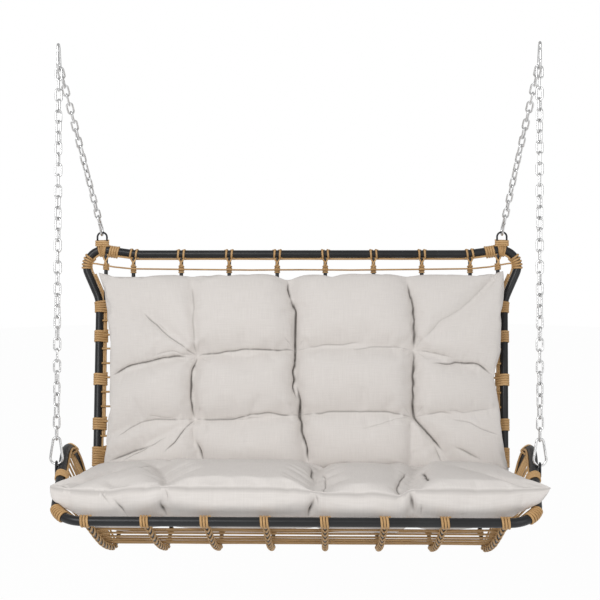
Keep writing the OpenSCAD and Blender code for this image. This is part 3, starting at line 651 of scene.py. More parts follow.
def loopRib(bm, x, s, dip, tint):
    # One loop of cane round a rib, drawn down into a V on the side away from the sitter
    points, outs = [], []
    off = rib["rod"] / 2 + cane["lay"] + lash["thick"] / 2
    for j in range(lash["perLoop"]):
        f = j / lash["perLoop"]
        a = 2 * math.pi * f
        down = 1 - abs(1 - f * 2)
        at, face, _ = ribFace(s + dip * down ** lash["sharp"])
        out = face * math.cos(a) + Vector((1, 0, 0)) * math.sin(a)
        points.append(at + Vector((x, 0, 0)) + out * off)
        outs.append(out)
    layCane(bm, points, outs, lash["width"], lash["thick"], tint, closed=True)


def crossOnRib(bm, x, i):
    # The two ends of a top binding cross on the rib and are knotted lower down
    top, knot = ribLine.length - crossing["top"], ribLine.length - crossing["knot"]
    for k, side in enumerate((-1, 1)):
        points, outs = [], []
        for j in range(crossing["steps"] + 1):
            f = j / crossing["steps"]
            at, face, _ = ribFace(top + (knot - top) * f)
            shift = side * (crossing["apart"] - crossing["sweep"] * f)
            off = crossing["off"] + crossing["over"] * math.sin(math.pi * f) * k
            points.append(at + Vector((x + shift, 0, 0)) + face * off)
            outs.append(face)
        layCane(bm, points, outs, crossing["width"], crossing["thick"], 0.3 + i * 0.07 + k * 0.4)
    for n in range(crossing["wraps"]):
        s = knot - crossing["wrapsBelow"] + n * crossing["wrapPitch"]
        loopRib(bm, x, s, 0, 0.5 + i * 0.09 + n * 0.037)


def buildTopBindings():
    bm = bmesh.new()
    for i, x in enumerate(rib["across"]):
        for k, side in enumerate((-1, 1)):
            # The outer ribs meet the rail where it has begun to bend up
            want = abs(x) + side * onRail["apart"]
            s = backSide.nearest(lambda p: abs(p.x - want) + (0 if p.z > 0.69 else 1))
            first = len(bm.verts)
            tint = 0.02 + i * 0.117 + k * 0.05
            pitch, width, start = onRail["topPitch"], onRail["width"], onRail["start"]
            windTurns(bm, backSide, s, 1.5, onTube, tint, pitch, width, start)
            if x < 0:
                mirrorAfter(bm, first)
        crossOnRib(bm, x, i)
    return bm


addCane("cane_rail_bindings", buildRailBindings(), caneLitCopy, "rail_bindings")
addCane("cane_top_bindings", buildTopBindings(), caneLitCopy, "top_bindings")

for i, x in enumerate(rib["across"]):
    bm = bmesh.new()
    for k in range(lash["strands"]):
        for n in range(lash["turns"]):
            s = lash["first"] + k * lash["strandPitch"] + (n - 1.4) * lash["turnPitch"]
            loopRib(bm, x, s, lash["dip"], 0.1 + i * 0.31 + k * 0.037 + n * 0.5)
    for n in range(lash["closing"]):
        s = lash["closingFirst"] + n * lash["closingPitch"]
        loopRib(bm, x, s, lash["closingDip"], 0.7 + i * 0.17 + n * 0.21)
    addCane(f"rib_lashing_{i + 1}", bm, caneShadedCopy, None if i else "rib_wraps")
print("bindings wound")

strand = dict(width=0.0064, thick=0.0056, wander=0.0012, step=0.012)
acrossSeat = dict(half=0.5405, off=0.01245)  # off the middle of the ribs
acrossBack = dict(
    strands=14,
    first=0.6912,
    pitch=0.0465,
    off=0.00895,
    postGap=0.011,
    # Above this height the ear leans out
    earFrom=0.533,
    earGap=0.014,
    earSlope=0.452,
)
byEarRod = dict(before=0.0095, behind=0.0215, least=0.03)


def straightStrand(bm, a, b, out, tint):
    count = max(2, int((b - a).length / 0.03))
    points = []
    side = (b - a).normalized().cross(out)
    for k in range(count + 1):
        p = a.lerp(b, k / count)
        # Cane never lies quite straight
        sway = noise.noise(Vector((p.x * 9, tint * 40, 1.7))) * strand["wander"]
        lift = noise.noise(Vector((p.x * 7, tint * 40, 8.3))) * strand["wander"] * 0.5
        points.append(p + side * sway + out * lift)
    sweepStrand(bm, points, out, tint)


def sweepStrand(bm, points, out, tint):
    layCane(bm, points, [out for _ in points], strand["width"], strand["thick"], tint)


def buildSeatStrands():
    bm = bmesh.new()
    reach = Vector((acrossSeat["half"], 0, 0))
    for k in range(lash["strands"]):
        at, face, _ = ribFace(lash["first"] + k * lash["strandPitch"])
        p = at + face * acrossSeat["off"]
        straightStrand(bm, p - reach, p + reach, face, 0.07 + k * 0.381)
    return bm


def reachAt(z):
    # How far a back strand reaches: to the post, or to the ear
    if z < acrossBack["earFrom"]:
        return backSide.point(onPost(z)).x - acrossBack["postGap"]
    return rim["postTop"][0] + (z - rim["postTop"][2]) * acrossBack["earSlope"] - acrossBack["earGap"]


def buildBackStrands():
    bm = bmesh.new()
    rod = earRod["foot"].x - byEarRod["before"]
    for k in range(acrossBack["strands"]):
        at, face, _ = ribFace(acrossBack["first"] + k * acrossBack["pitch"])
        p = at + face * acrossBack["off"]
        reach = reachAt(p.z)
        # A strand that would run through an ear rod stops at it and starts again behind
        end = reach if p.z < earRod["foot"].z else min(reach, rod)
        straightStrand(bm, p - Vector((end, 0, 0)), p + Vector((end, 0, 0)), face, 0.03 + k * 0.457)
        if end < reach and reach - rod > byEarRod["least"]:
            for side in (-1, 1):
                a, b = Vector((side * (rod + byEarRod["behind"]), 0, 0)), Vector((side * reach, 0, 0))
                straightStrand(bm, p + a, p + b, face, 0.53 + k * 0.1)
    return bm


topStrand = dict(
    below=0.052,
    off=0.0118,
    width=0.0052,
    thick=0.0046,
    # Height along half of it, from the middle out to the ear
    line=[
        (0, 0),
        (0.16, -0.001),
        (0.36, 0.001),
        (0.54, 0.003),
        (0.60, 0.009),
        (0.655, 0.019),
        (0.683, 0.022),
    ],
    lastRib=0.54,
    lean=0.012 / 0.14,  # back towards the ear, beyond the last rib
)


def buildTopStrand(bm):
    # The highest strand lies on the knots below the rail and rises to the ears at its ends
    at, face, _ = ribFace(ribLine.length - topStrand["below"])
    start = at + face * topStrand["off"]
    points = []
    for x, z in topStrand["line"]:
        points.append(start + Vector((x, topStrand["lean"] * max(0, x - topStrand["lastRib"]), z)))
    layCane(bm, points, [face for _ in points], topStrand["width"], topStrand["thick"], 0.37)


ringLegs = dict(
    x=0.641,
    half=0.01525,
    radius=0.003,
    railZ=0.718,
    low=0.70,
    high=0.78,
    wrap=0.038,
)
earKnot = dict(
    wrap=0.054,  # below the ear rod's top
    top=0.020,
    drop=0.028,
    apart=0.0085,
    sweep=0.014,
    off=0.0095,
    over=0.002,
    steps=6,
)


def buildEarKnot(bm):
    # Cane over the rail and up round both legs of the ring, and a cross with a wrap on the ear rod
    y = rim["ear"][1]
    x = ringLegs["x"]
    s = atPoint(backSide, x, y, ringLegs["railZ"])
    windTurns(bm, backSide, s, 3, strandBelow, 0.47, 0.0072, 0.0066)
    legs = BentLine([(x, y, ringLegs["low"], 0), (x, y, ringLegs["high"], 0)])
    pair = [(Vector((side * ringLegs["half"], 0, 0)), ringLegs["radius"]) for side in (-1, 1)]
    windTurns(bm, legs, ringLegs["wrap"], 3, pair, 0.19, 0.0062, 0.0062)
    rod = BentLine([(*earRod["foot"], 0), (*earRod["top"], 0)])
    bare = [(Vector((0, 0, 0)), earRod["radius"])]
    windTurns(bm, rod, rod.length - earKnot["wrap"], 3, bare, 0.83, 0.0060, 0.0056)
    for side in (-1, 1):
        points = []
        for k in range(earKnot["steps"] + 1):
            f = k / earKnot["steps"]
            p = rod.point(rod.length - earKnot["top"] - earKnot["drop"] * f)
            shift = side * (earKnot["apart"] - earKnot["sweep"] * f)
            off = earKnot["off"] + earKnot["over"] * math.sin(math.pi * f)
            points.append(p + Vector((shift, -off, 0)))
        outs = [Vector((0, -1, 0)) for _ in points]
        layCane(bm, points, outs, crossing["width"], crossing["thick"], 0.61 + side * 0.2)


addCane("cane_ear_knots", mirrorBoth(buildEarKnot), caneLitCopy)
addCane("cane_top_strand", mirrorBoth(buildTopStrand), caneLitCopy)
addCane("cane_seat_strands", buildSeatStrands(), caneShadedCopy, "seat_strands")
addCane("cane_back_strands", buildBackStrands(), caneShadedCopy, "back_strands")


# Starts and ends of the strands beside the tube, along its line
beside = dict(
    postStarts=(0.089, 0.137),
    roundEar=0.535,  # where the first one ends, before the middle of the top rail
    belowEar=0.010,
    armBefore=0.158,
    armAfter=0.004,
    rail=0.538,
)


def besideTube(s, end, place):
    points = []
    while s < end:
        points.append(place(s))
        s += strand["step"]
    return points


def buildRimStrands(bm):
    # Two strands up the inner side of each post; the first goes on round the ear
    up = Vector((0, 1, -0.33)).normalized()
    ends = (backSide.length - beside["roundEar"], backSide.bends[2] - beside["belowEar"])
    for n, (start, end) in enumerate(zip(beside["postStarts"], ends)):
        points = besideTube(
            start,
            end,
            lambda s: backSide.point(s) - up.cross(backSide.direction(s)).normalized() * strandOff[n],
        )
        sweepStrand(bm, points, Vector((0, -1, 0.3)), 0.2 + n * 0.33)
    # One strand along the inner side of the arm
    start, end = seatSide.bends[2] - beside["armBefore"], seatSide.bends[3] - beside["armAfter"]
    points = besideTube(start, end, lambda s: seatSide.point(s) + inner * strandOff[0])
    sweepStrand(bm, points, inner, 0.71)


bm = mirrorBoth(buildRimStrands)
belowRail = Vector((0, rim["railEnd"][1], rim["railEnd"][2] - strandOff[0]))
railReach = Vector((beside["rail"], 0, 0))
straightStrand(bm, belowRail - railReach, belowRail + railReach, Vector((0, -1, 0)), 0.66)
addCane("cane_rim_strands", bm, caneLitCopy, "rim_strands")


sidePanel = dict(
    strands=13,
    firstOnRib=0.117,
    ribPitch=0.030,
    firstOnArm=0.055,  # past the front corner
    armPitch=0.034,
    ribGap=0.0100,
    armGap=0.0004,
)


def buildSideStrands(bm):
    for k in range(sidePanel["strands"]):
        along = sidePanel["firstOnRib"] + k * sidePanel["ribPitch"]
        foot = ribLine.point(along) + Vector((rib["across"][-1], 0, 0))
        head = seatSide.point(rim["corner"][0] + sidePanel["firstOnArm"] + k * sidePanel["armPitch"])
        away = (foot - head).normalized()
        a, b = foot - away * sidePanel["ribGap"], head + away * (tubeR + sidePanel["armGap"])
        straightStrand(bm, a, b, Vector((-0.8, 0, 0.6)), 0.12 + k * 0.29)


for side, name in ((-1, "left"), (1, "right")):
    bm = bmesh.new()
    buildSideStrands(bm)
    if side < 0:
        mirrorAfter(bm, 0)
    addCane(f"cane_side_strands_{name}", bm, caneShadedCopy, f"side_strands_{name}")
print("strands laid")


def bulge(t, power):
    return math.sqrt(max(0.0, 1 - abs(t) ** power))


def smooth(t):
    t = min(max(t, 0.0), 1.0)
    return t * t * (3 - 2 * t)


def offLine(x, y, line):
    # Distance to a line of points
    best = math.inf
    for (ax, ay), (bx, by) in zip(line, line[1:]):
        dx, dy = bx - ax, by - ay
        t = ((x - ax) * dx + (y - ay) * dy) / (dx * dx + dy * dy)
        t = min(max(t, 0.0), 1.0)
        best = min(best, math.hypot(x - ax - dx * t, y - ay - dy * t))
    return best


def between(pairs, t):
    # The height at t of a line given as pairs
    return float(np.interp(t, [p[0] for p in pairs], [p[1] for p in pairs]))


backPad = dict(
    low=0.214,
    high=0.857,
    square=(4.5, 3.6),  # how full it stays towards its sides, and towards its top and bottom
    corners=0.010,  # how far they stand out above and below
    # How far the sides reach, up the plane of the back
    left=[(0.219, 0.594), (0.37, 0.588), (0.53, 0.590), (0.71, 0.617), (0.857, 0.650)],
    right=[(0.219, 0.636), (0.43, 0.607), (0.515, 0.596), (0.59, 0.620), (0.79, 0.646), (0.857, 0.646)],
    # Off the plane of the back: the seam, the underside and the front
    seamLift=0.052,
    lie=0.0158,
    thick=0.114,
    dent=0.070,
    cleft=dict(near=0.016, far=0.055, share=0.45),
    valleyShare=0.62,  # of the dent
    tuftShare=0.36,
    tuftReach=0.034,
    ripples=[(5, 2.1, 0.0045), (15, 6.3, 0.0018)],  # fineness, place in the noise and size
    # How far the top edge sinks where the valleys reach it, as (place, depth)
    sags=[(-0.345, 0.006), (-0.040, 0.016), (0.336, 0.006)],
    sagReach=0.035,
    # Tufts, across and up the plane of the back
    tufts=[
        (-0.320, 0.379), (-0.318, 0.581), (0.002, 0.393),
        (-0.015, 0.599), (0.343, 0.388), (0.352, 0.600),
    ],
    cells=(150, 78),
)
low, high = backPad["low"], backPad["high"]
heel = Vector(rib["line"][2][:3])
backDir = (Vector(rib["line"][3][:3]) - heel).normalized()
backFace = Vector((0, -backDir.z, backDir.y))


def onBack(a, b, c):
    return heel + Vector((a, 0, 0)) + backDir * b + backFace * c


# Valleys between the tufts and out to the edges, as (depth, points)
lowLeft, highLeft, lowMid, highMid, lowRight, highRight = backPad["tufts"]
backValleys = [
    (1.0, [lowLeft, (-0.330, 0.48), highLeft]),
    (0.5, [highLeft, (-0.332, 0.70), (-0.345, high)]),
    (0.7, [lowLeft, (-0.320, 0.31), (-0.285, low)]),
    (1.0, [lowMid, (-0.014, 0.49), highMid]),
    (1.0, [highMid, (-0.018, 0.70), (-0.040, high)]),
    (1.0, [lowMid, (0.006, 0.33), (0.030, low)]),
    (0.9, [lowRight, (0.345, 0.49), highRight]),
    (0.8, [highRight, (0.350, 0.70), (0.336, high)]),
    (0.8, [lowRight, (0.338, 0.32), (0.336, low)]),
    (0.8, [lowLeft, (-0.160, 0.372), lowMid]),
    (0.9, [highLeft, (-0.160, 0.580), highMid]),
    (0.7, [lowMid, (0.185, 0.398), lowRight]),
    (0.8, [highMid, (0.160, 0.605), highRight]),
    (0.8, [highLeft, (-0.480, 0.542), (-0.600, 0.510)]),
    (0.5, [highLeft, (-0.485, 0.711)]),
    (0.7, [lowLeft, (-0.480, 0.368), (-0.600, 0.320)]),
    (0.7, [lowLeft, (-0.480, 0.292), (-0.600, 0.240)]),
    (0.8, [highRight, (0.460, 0.556), (0.600, 0.520)]),
    (0.5, [highRight, (0.490, 0.706), (0.600, 0.820)]),
    (0.6, [lowRight, (0.480, 0.392), (0.600, 0.415)]),
    (0.8, [lowRight, (0.413, 0.296), (0.470, low)]),
]


valleyReach = 0.16  # past which a valley is too shallow to count


def valleyAt(x, y, valleys, near, far, share):
    # Depth of the valleys at a place, 0 to 1: a narrow cleft in a wide dip
    depth = 0.0
    for most, line in valleys:
        d = offLine(x, y, line)
        if d < valleyReach:
            cleft, dip = math.exp(-d / near), math.exp(-((d / far) ** 2))
            depth = max(depth, most * (share * cleft + (1 - share) * dip))
    return depth


def backHalf(u, h):
    return between(backPad["left" if u < 0 else "right"], h)


def backFull(u, v):
    across, up = backPad["square"]
    return bulge(u, across) * bulge(v, up)


def backSwell(x, h, u, v):
    # How far the front stands off the plane of the back
    tuft = max(math.exp(-math.hypot(x - a, h - b) / backPad["tuftReach"]) for a, b in backPad["tufts"])
    valley = valleyAt(x, h, backValleys, **backPad["cleft"])
    dent = backPad["valleyShare"] * valley + backPad["tuftShare"] * tuft
    ripple = 0.0
    for fine, z, size in backPad["ripples"]:
        ripple += noise.noise(Vector((x * fine, h * fine, z))) * size
    lift = backPad["seamLift"]
    return lift + backFull(u, v) * (backPad["thick"] - lift - dent * backPad["dent"] + ripple)


def backPoint(u, v, front):
    middle, reach = (low + high) / 2, (high - low) / 2
    h = middle + v * (reach - backPad["corners"] * (1 - u**4))
    x = u * backHalf(u, h)
    sag = sum(math.exp(-(((x - at) / backPad["sagReach"]) ** 2)) * deep for at, deep in backPad["sags"])
    h -= sag * smooth((v - 0.6) / 0.4)
    if front:
        return onBack(x, h, backSwell(x, h, u, v))
    lift = backPad["seamLift"]
    return onBack(x, h, lift - backFull(u, v) * (lift - backPad["lie"]))


seatPad = dict(
    front=0.034,
    back=0.542,
    half=0.622,
    flare=0.030,  # of the front corners
    tip=dict(left=-0.005, right=0.008),  # added to the flare
    tuck=0.030,  # of the left tip, backwards
    waist=0.006,
    bow=0.014,
    seamFall=0.95,  # share of its height that the seam loses towards the back
    seamSag=0.004,
    # How full it stays towards its sides, on top and underneath
    square=dict(left=(12, 15), right=(6, 6)),
    ripple=0.004,
    crown=0.017,
    rise=0.027,
    topDent=0.042,
    depth=0.144,
    bottomDent=0.02,
    lip=0.018,  # how far the front face swells out
    lipDent=0.016,
    lipHeight=0.10,
    lipFrom=0.3,  # ahead of this share of the depth
    lipEase=0.5,
    lie=0.005,  # above the laced ribs
    lean=dict(left=0.018, right=-0.02),  # how far the sides bulge out
    cleft=dict(near=0.014, far=0.050, share=0.6),
    # Height of the front seam across the seat
    seam=[
        (-0.64, 0.082), (-0.58, 0.078), (-0.475, 0.078), (-0.44, 0.085), (-0.36, 0.093), (-0.22, 0.090),
        (0.0, 0.090), (0.08, 0.077), (0.20, 0.079), (0.268, 0.070), (0.30, 0.088), (0.47, 0.083),
        (0.66, 0.085),
    ],
    cells=(150, 74),
)
clear = 0.0172  # from the middle of a rib to the top of what is laced on it
outerRib = rib["across"][-1]


def traceFloor():
    # Height of the laced ribs, from front to back
    line = []
    for k in range(66):
        at, face, _ = ribFace(0.010 + k * 0.020)
        line.append(tuple(at + face * clear)[1:])
    return line


def traceSlopes():
    # Slope of the side panels, from front to back
    line = []
    for k in range(24):
        arm = seatSide.point(rim["corner"][0] + 0.020 * (k + 1))
        height = arm.z - between(floorLine, arm.y) + clear - 0.001
        line.append((arm.y, min(1.9, height / (arm.x - outerRib))))
    return line


floorLine = traceFloor()
sideSlopes = traceSlopes()

# Valleys across the seat, front to back, as (depth, points from above)
seatValleys = [
    (1.0, [(-0.340, 0.02), (-0.345, 0.12), (-0.400, 0.34)]),
    (0.5, [(-0.430, 0.02), (-0.480, 0.06)]),
    (1.0, [(0.046, 0.02), (0.050, 0.10), (0.062, 0.42)]),
    (0.6, [(0.082, 0.02), (0.086, 0.10), (0.077, 0.20)]),
    (1.1, [(0.298, 0.02), (0.304, 0.12), (0.345, 0.42)]),
    (0.6, [(0.267, 0.02), (0.285, 0.11), (0.309, 0.20)]),
    (0.5, [(-0.600, 0.02), (-0.575, 0.08), (-0.500, 0.22)]),
    (0.4, [(0.600, 0.02), (0.540, 0.10), (0.460, 0.24)]),
]


def seatPoint(u, v, top):
    front = max(0.0, -v)
    t = (v + 1) / 2
    hand = "right" if u > 0 else "left"
    flare = (seatPad["flare"] + seatPad["tip"][hand]) * front**3
    half = seatPad["half"] + flare - seatPad["waist"] * (1 - v * v)
    middle, reach = (seatPad["front"] + seatPad["back"]) / 2, (seatPad["back"] - seatPad["front"]) / 2
    x = u * half
    y = middle + v * reach - (1 - u * u) * seatPad["bow"] * front**5
    if hand == "left":
        y += seatPad["tuck"] * abs(u) ** 14 * front**6
    seam = between(seatPad["seam"], x) * (1 - seatPad["seamFall"] * t**3)
    seam -= seatPad["seamSag"] * (1 - u * u) * (1 - t) ** 4
    dent = valleyAt(x, y, seatValleys, **seatPad["cleft"]) * (1 - t) ** 0.6
    topSquare, bottomSquare = seatPad["square"][hand]
    if top:
        swell = bulge(u, topSquare) * bulge(v, 3 if v < 0 else 6)
        z = seam + swell * (seatPad["crown"] + seatPad["rise"] * t * t - seatPad["topDent"] * dent)
        ripple = seatPad["ripple"] * noise.noise(Vector((x * 5, y * 5, 5.4)))
        return Vector((x, y, z + swell * ripple))
    swell = bulge(u, bottomSquare) * bulge(v, 4 + 3 * u * u)
    z = seam - swell * (seatPad["depth"] - seatPad["bottomDent"] * dent)
    # It lies on the ribs and, beyond the last one, on the slope of the side panel
    slope = max(0.0, abs(x) - outerRib) * between(sideSlopes, y) * smooth((y - 0.03) / 0.03)
    z = min(seam - 0.004 * swell, max(z, between(floorLine, y) + slope + seatPad["lie"]))
    # The front face swells forward between the seam and the rail
    if -v > seatPad["lipFrom"]:
        ease = smooth((-v - seatPad["lipFrom"]) / seatPad["lipEase"])
        lip = (seatPad["lip"] - seatPad["lipDent"] * dent) * ease
        y -= lip * math.sin(math.pi * min(1.0, (seam - z) / seatPad["lipHeight"]))
    return Vector((x * (1 + seatPad["lean"][hand] * swell * abs(u) ** 3), y, z))


def pillowMesh(where, cells):
    # Two sheets of one grid, bent to shape and sewn along their edge
    bm = bmesh.new()
    uv = bm.loops.layers.uv.verify()
    # This attribute first marks the seam; later it holds the painted shade along the seam and the creases
    seam = bm.verts.layers.float.new("crease")
    for upper in (True, False):
        made = bmesh.ops.create_grid(bm, x_segments=cells[0], y_segments=cells[1], size=1.0)["verts"]
        faces = list({f for v in made for f in v.link_faces})
        for f in faces:
            f.smooth = True
            for loop in f.loops:
                # About a metre to a unit; the underside has its own place in the pattern
                loop[uv].uv = (loop.vert.co.x * 0.65 + (0 if upper else 2), loop.vert.co.y * 0.33)
        if not upper:
            bmesh.ops.reverse_faces(bm, faces=faces)
        for v in made:
            v[seam] = 1.0 if max(abs(v.co.x), abs(v.co.y)) > 0.9999 else 0.0
            # Closer cells near the edge
            u, w = (math.sin(c * math.pi / 2) * 0.55 + c * 0.45 for c in v.co[:2])
            v.co = where(u, w, upper)
    bmesh.ops.remove_doubles(bm, verts=bm.verts, dist=0.0004)
    return bm


clothFeel = dict(
    quality=5,
    mass=0.25,
    tension_stiffness=12,
    compression_stiffness=6,
    shear_stiffness=4,
    bending_stiffness=0.6,
    use_pressure=True,
    uniform_pressure_force=4,
    shrink_min=-0.03,
    pin_stiffness=1.5,
)


def plump(piece, grip, cap=0.012, frames=14):
    # Swells a cushion as cloth; the grip group holds its valleys and underside
    rest = [v.co.copy() for v in piece.data.vertices]
    cloth = piece.modifiers.new("cloth", "CLOTH")
    for key, value in clothFeel.items():
        setattr(cloth.settings, key, value)
    cloth.settings.vertex_group_mass = grip
    cloth.settings.effector_weights.gravity = 0
    cloth.collision_settings.use_collision = False
    scene = bpy.context.scene
    for f in range(1, frames + 1):
        scene.frame_set(f)
    swollen = piece.evaluated_get(bpy.context.evaluated_depsgraph_get()).to_mesh()
    moved = [v.co.copy() for v in swollen.vertices]
    piece.modifiers.remove(cloth)
    for v, a, b in zip(piece.data.vertices, rest, moved):
        shift = b - a
        v.co = a + shift * min(1.0, cap / max(shift.length, 1e-9))
    scene.frame_set(1)


def refine(piece):
    # Turns one subdivision into mesh, so that creases can be cut in it
    rounder = piece.modifiers.new("rounder", "SUBSURF")
    rounder.levels = rounder.render_levels = 1
    fine = bpy.data.meshes.new_from_object(piece.evaluated_get(bpy.context.evaluated_depsgraph_get()))
    piece.modifiers.clear()
    piece.data = fine


def takeAll(mesh, kind):
    values = np.empty(len(mesh.vertices) * 3)
    mesh.vertices.foreach_get(kind, values)
    return values.reshape(-1, 3)


def nearLine(at, line, reach):
    # The points within reach of a line, how far they are from it and where along it
    least, most = line.min(axis=0) - reach, line.max(axis=0) + reach
    some = np.nonzero(((at > least) & (at < most)).all(axis=1))[0]
    best, place = np.full(len(some), reach), np.zeros(len(some))
    for k, (a, b) in enumerate(zip(line, line[1:])):
        go = b - a
        t = np.clip((at[some] - a) @ go / max(go @ go, 1e-12), 0, 1)
        d = np.linalg.norm(at[some] - a - t[:, None] * go, axis=1)
        closer = d < best
        best[closer], place[closer] = d[closer], (k + t[closer]) / (len(line) - 1)
    held = best < reach
    return some[held], best[held], place[held]


# How a crease is cut into the cloth, with painted shade along its bottom
groove = dict(
    coarse=0.011,  # the mesh is halved this near to it, and again at half of that
    step=0.006,
    evened=5,
    ease=0.045,  # length of its fading ends
    # Width of the painted shade along a crease's bottom
    paintedShadeWidth=0.0006,
    paintedShadeShare=0.11,  # of the crease's width, added to that
    seamDepth=0.0012,
    # Darkness of the painted shade along the seam
    seamPaintedShade=0.3,
)


def treeOf(points):
    tree = kdtree.KDTree(len(points))
    for i, p in enumerate(points):
        tree.insert(p, i)
    tree.balance()
    return tree


def drapeLine(tree, points, width):
    # Brings a line of a few points onto the cloth; folds never run quite true, so it wavers
    waver = min(0.0035, width * 0.25)
    run = BentLine([(*p, 0) for p in points])
    steps = max(2, int(run.length / groove["step"]))
    line = []
    for k in range(steps + 1):
        p = run.point(run.length * k / steps)
        p += (noise.noise_vector(p * 16) + noise.noise_vector(p * 40) * 0.2) * waver
        line.append(tree.find(p)[0])
    # Even out the steps from vertex to vertex
    line = np.array(line)
    for _ in range(groove["evened"]):
        line[1:-1] = (line[:-2] + line[1:-1] * 2 + line[2:]) / 4
    return line


def splitNear(mesh, lines, reach):
    # Halves the mesh's edges along the lines
    at = takeAll(mesh, "co")
    near = np.zeros(len(at), dtype=bool)
    for line in lines:
        near[nearLine(at, line, reach)[0]] = True
    bm = bmesh.new()
    bm.from_mesh(mesh)
    edges = [e for e in bm.edges if near[e.verts[0].index] and near[e.verts[1].index]]
    made = bmesh.ops.subdivide_edges(bm, edges=edges, cuts=1, use_grid_fill=True)["geom_inner"]
    fresh = [g for g in made if isinstance(g, bmesh.types.BMVert)]
    bmesh.ops.smooth_vert(bm, verts=fresh, factor=0.5, use_axis_x=True, use_axis_y=True, use_axis_z=True)
    for f in bm.faces:
        f.smooth = True
    bm.to_mesh(mesh)
    bm.free()


def cutCreases(piece, creases):
    # Each crease is (depth, width, darkness, points); its sides round off and its bottom is darkened with
    # painted shade
    mesh = piece.data
    tree = treeOf(takeAll(mesh, "co"))
    lines = [drapeLine(tree, points, width) for _, width, _, points in creases]
    splitNear(mesh, lines, groove["coarse"])
    splitNear(mesh, lines, groove["coarse"] / 2)
    at, normals = takeAll(mesh, "co"), takeAll(mesh, "normal")
    # The seam's value runs from 1 on the stitches to 0 on the next vertices
    seam = np.empty(len(at))
    mesh.attributes["crease"].data.foreach_get("value", seam)
    seam = np.clip(seam * 4 - 3, 0, 1)
    # The seam sinks a little and is darkened with painted shade
    sunk, dark = seam * groove["seamDepth"], seam * groove["seamPaintedShade"]
    for (depth, width, darkness, points), line in zip(creases, lines):
        some, d, f = nearLine(at, line, width)
        length = np.linalg.norm(np.diff(line, axis=0), axis=1).sum()
        end = np.clip(np.minimum(f, 1 - f) * length / groove["ease"] + 0.08, 0, 1)
        fade = end * end * (3 - 2 * end)
        rounded = 1 - np.sqrt(1 - (1 - d / width) ** 2)
        # Painted shade, narrow, along the crease's bottom
        paintedShade = np.exp(-((d / (groove["paintedShadeWidth"] + groove["paintedShadeShare"] * width)) ** 2))
        sunk[some] = np.maximum(sunk[some], depth * fade * rounded)
        dark[some] = np.maximum(dark[some], darkness * fade * paintedShade)
    at -= normals * sunk[:, None]
    mesh.vertices.foreach_set("co", at.ravel())
    mesh.attributes["crease"].data.foreach_set("value", dark)
    mesh.update()


# Places along the rim that a cushion is kept clear of
rimLine = [seatSide.point(k * 0.006) for k in range(220)]
rimLine = [Vector((side * p.x, p.y, p.z)) for p in rimLine for side in (-1, 1)]
rimTree = treeOf(rimLine)


def keepOff(piece, gap=0.0182):
    # Where the cushion lies on the rim, it bends round it
    toSeat = seatToRow.inverted()
    for v in piece.data.vertices:
        p = toSeat @ v.co
        at, _, d = rimTree.find(p)
        if d < gap:
            v.co = seatToRow @ (at + (p - at) * gap / max(d, 1e-6))


def makeCushion(name, node, where, cells, grip, creases):
    piece = finishPiece(name, pillowMesh(where, cells), linen)
    group = piece.vertex_groups.new(name="grip")
    toSeat = seatToRow.inverted()
    for v in piece.data.vertices:
        weight = grip(toSeat @ v.co)
        if weight > 0.01:
            group.add([v.index], weight, "REPLACE")
    plump(piece, "grip")
    refine(piece)
    keepOff(piece)
    cutCreases(piece, [(d, w, k, [seatToRow @ p for p in line]) for d, w, k, line in creases])
    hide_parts(node)
    print(name, "made")


# How firmly the cloth is held at its tufts, along its valleys and underneath
hold = dict(tuftReach=0.03, valleyReach=0.012, backValleys=0.6, seatValleys=0.5, under=0.03)


def valleyHold(x, y, valleys):
    reach = hold["valleyReach"]
    return max(most * math.exp(-((offLine(x, y, line) / reach) ** 2)) for most, line in valleys)


def backGrip(p):
    q = p - heel
    x, h, c = q.x, q.dot(backDir), q.dot(backFace)
    reach = hold["tuftReach"]
    tuft = max(math.exp(-((math.hypot(x - a, h - b) / reach) ** 2)) for a, b in backPad["tufts"])
    valley = valleyHold(x, h, backValleys) * hold["backValleys"]
    return min(1.0, max(tuft, valley, 1.0 if c < hold["under"] else 0.0))


def seatGrip(p):
    valley = valleyHold(p.x, p.y, seatValleys) * hold["seatValleys"]
    return min(1.0, max(valley, 1.0 if p.z < between(floorLine, p.y) + hold["under"] else 0.0))
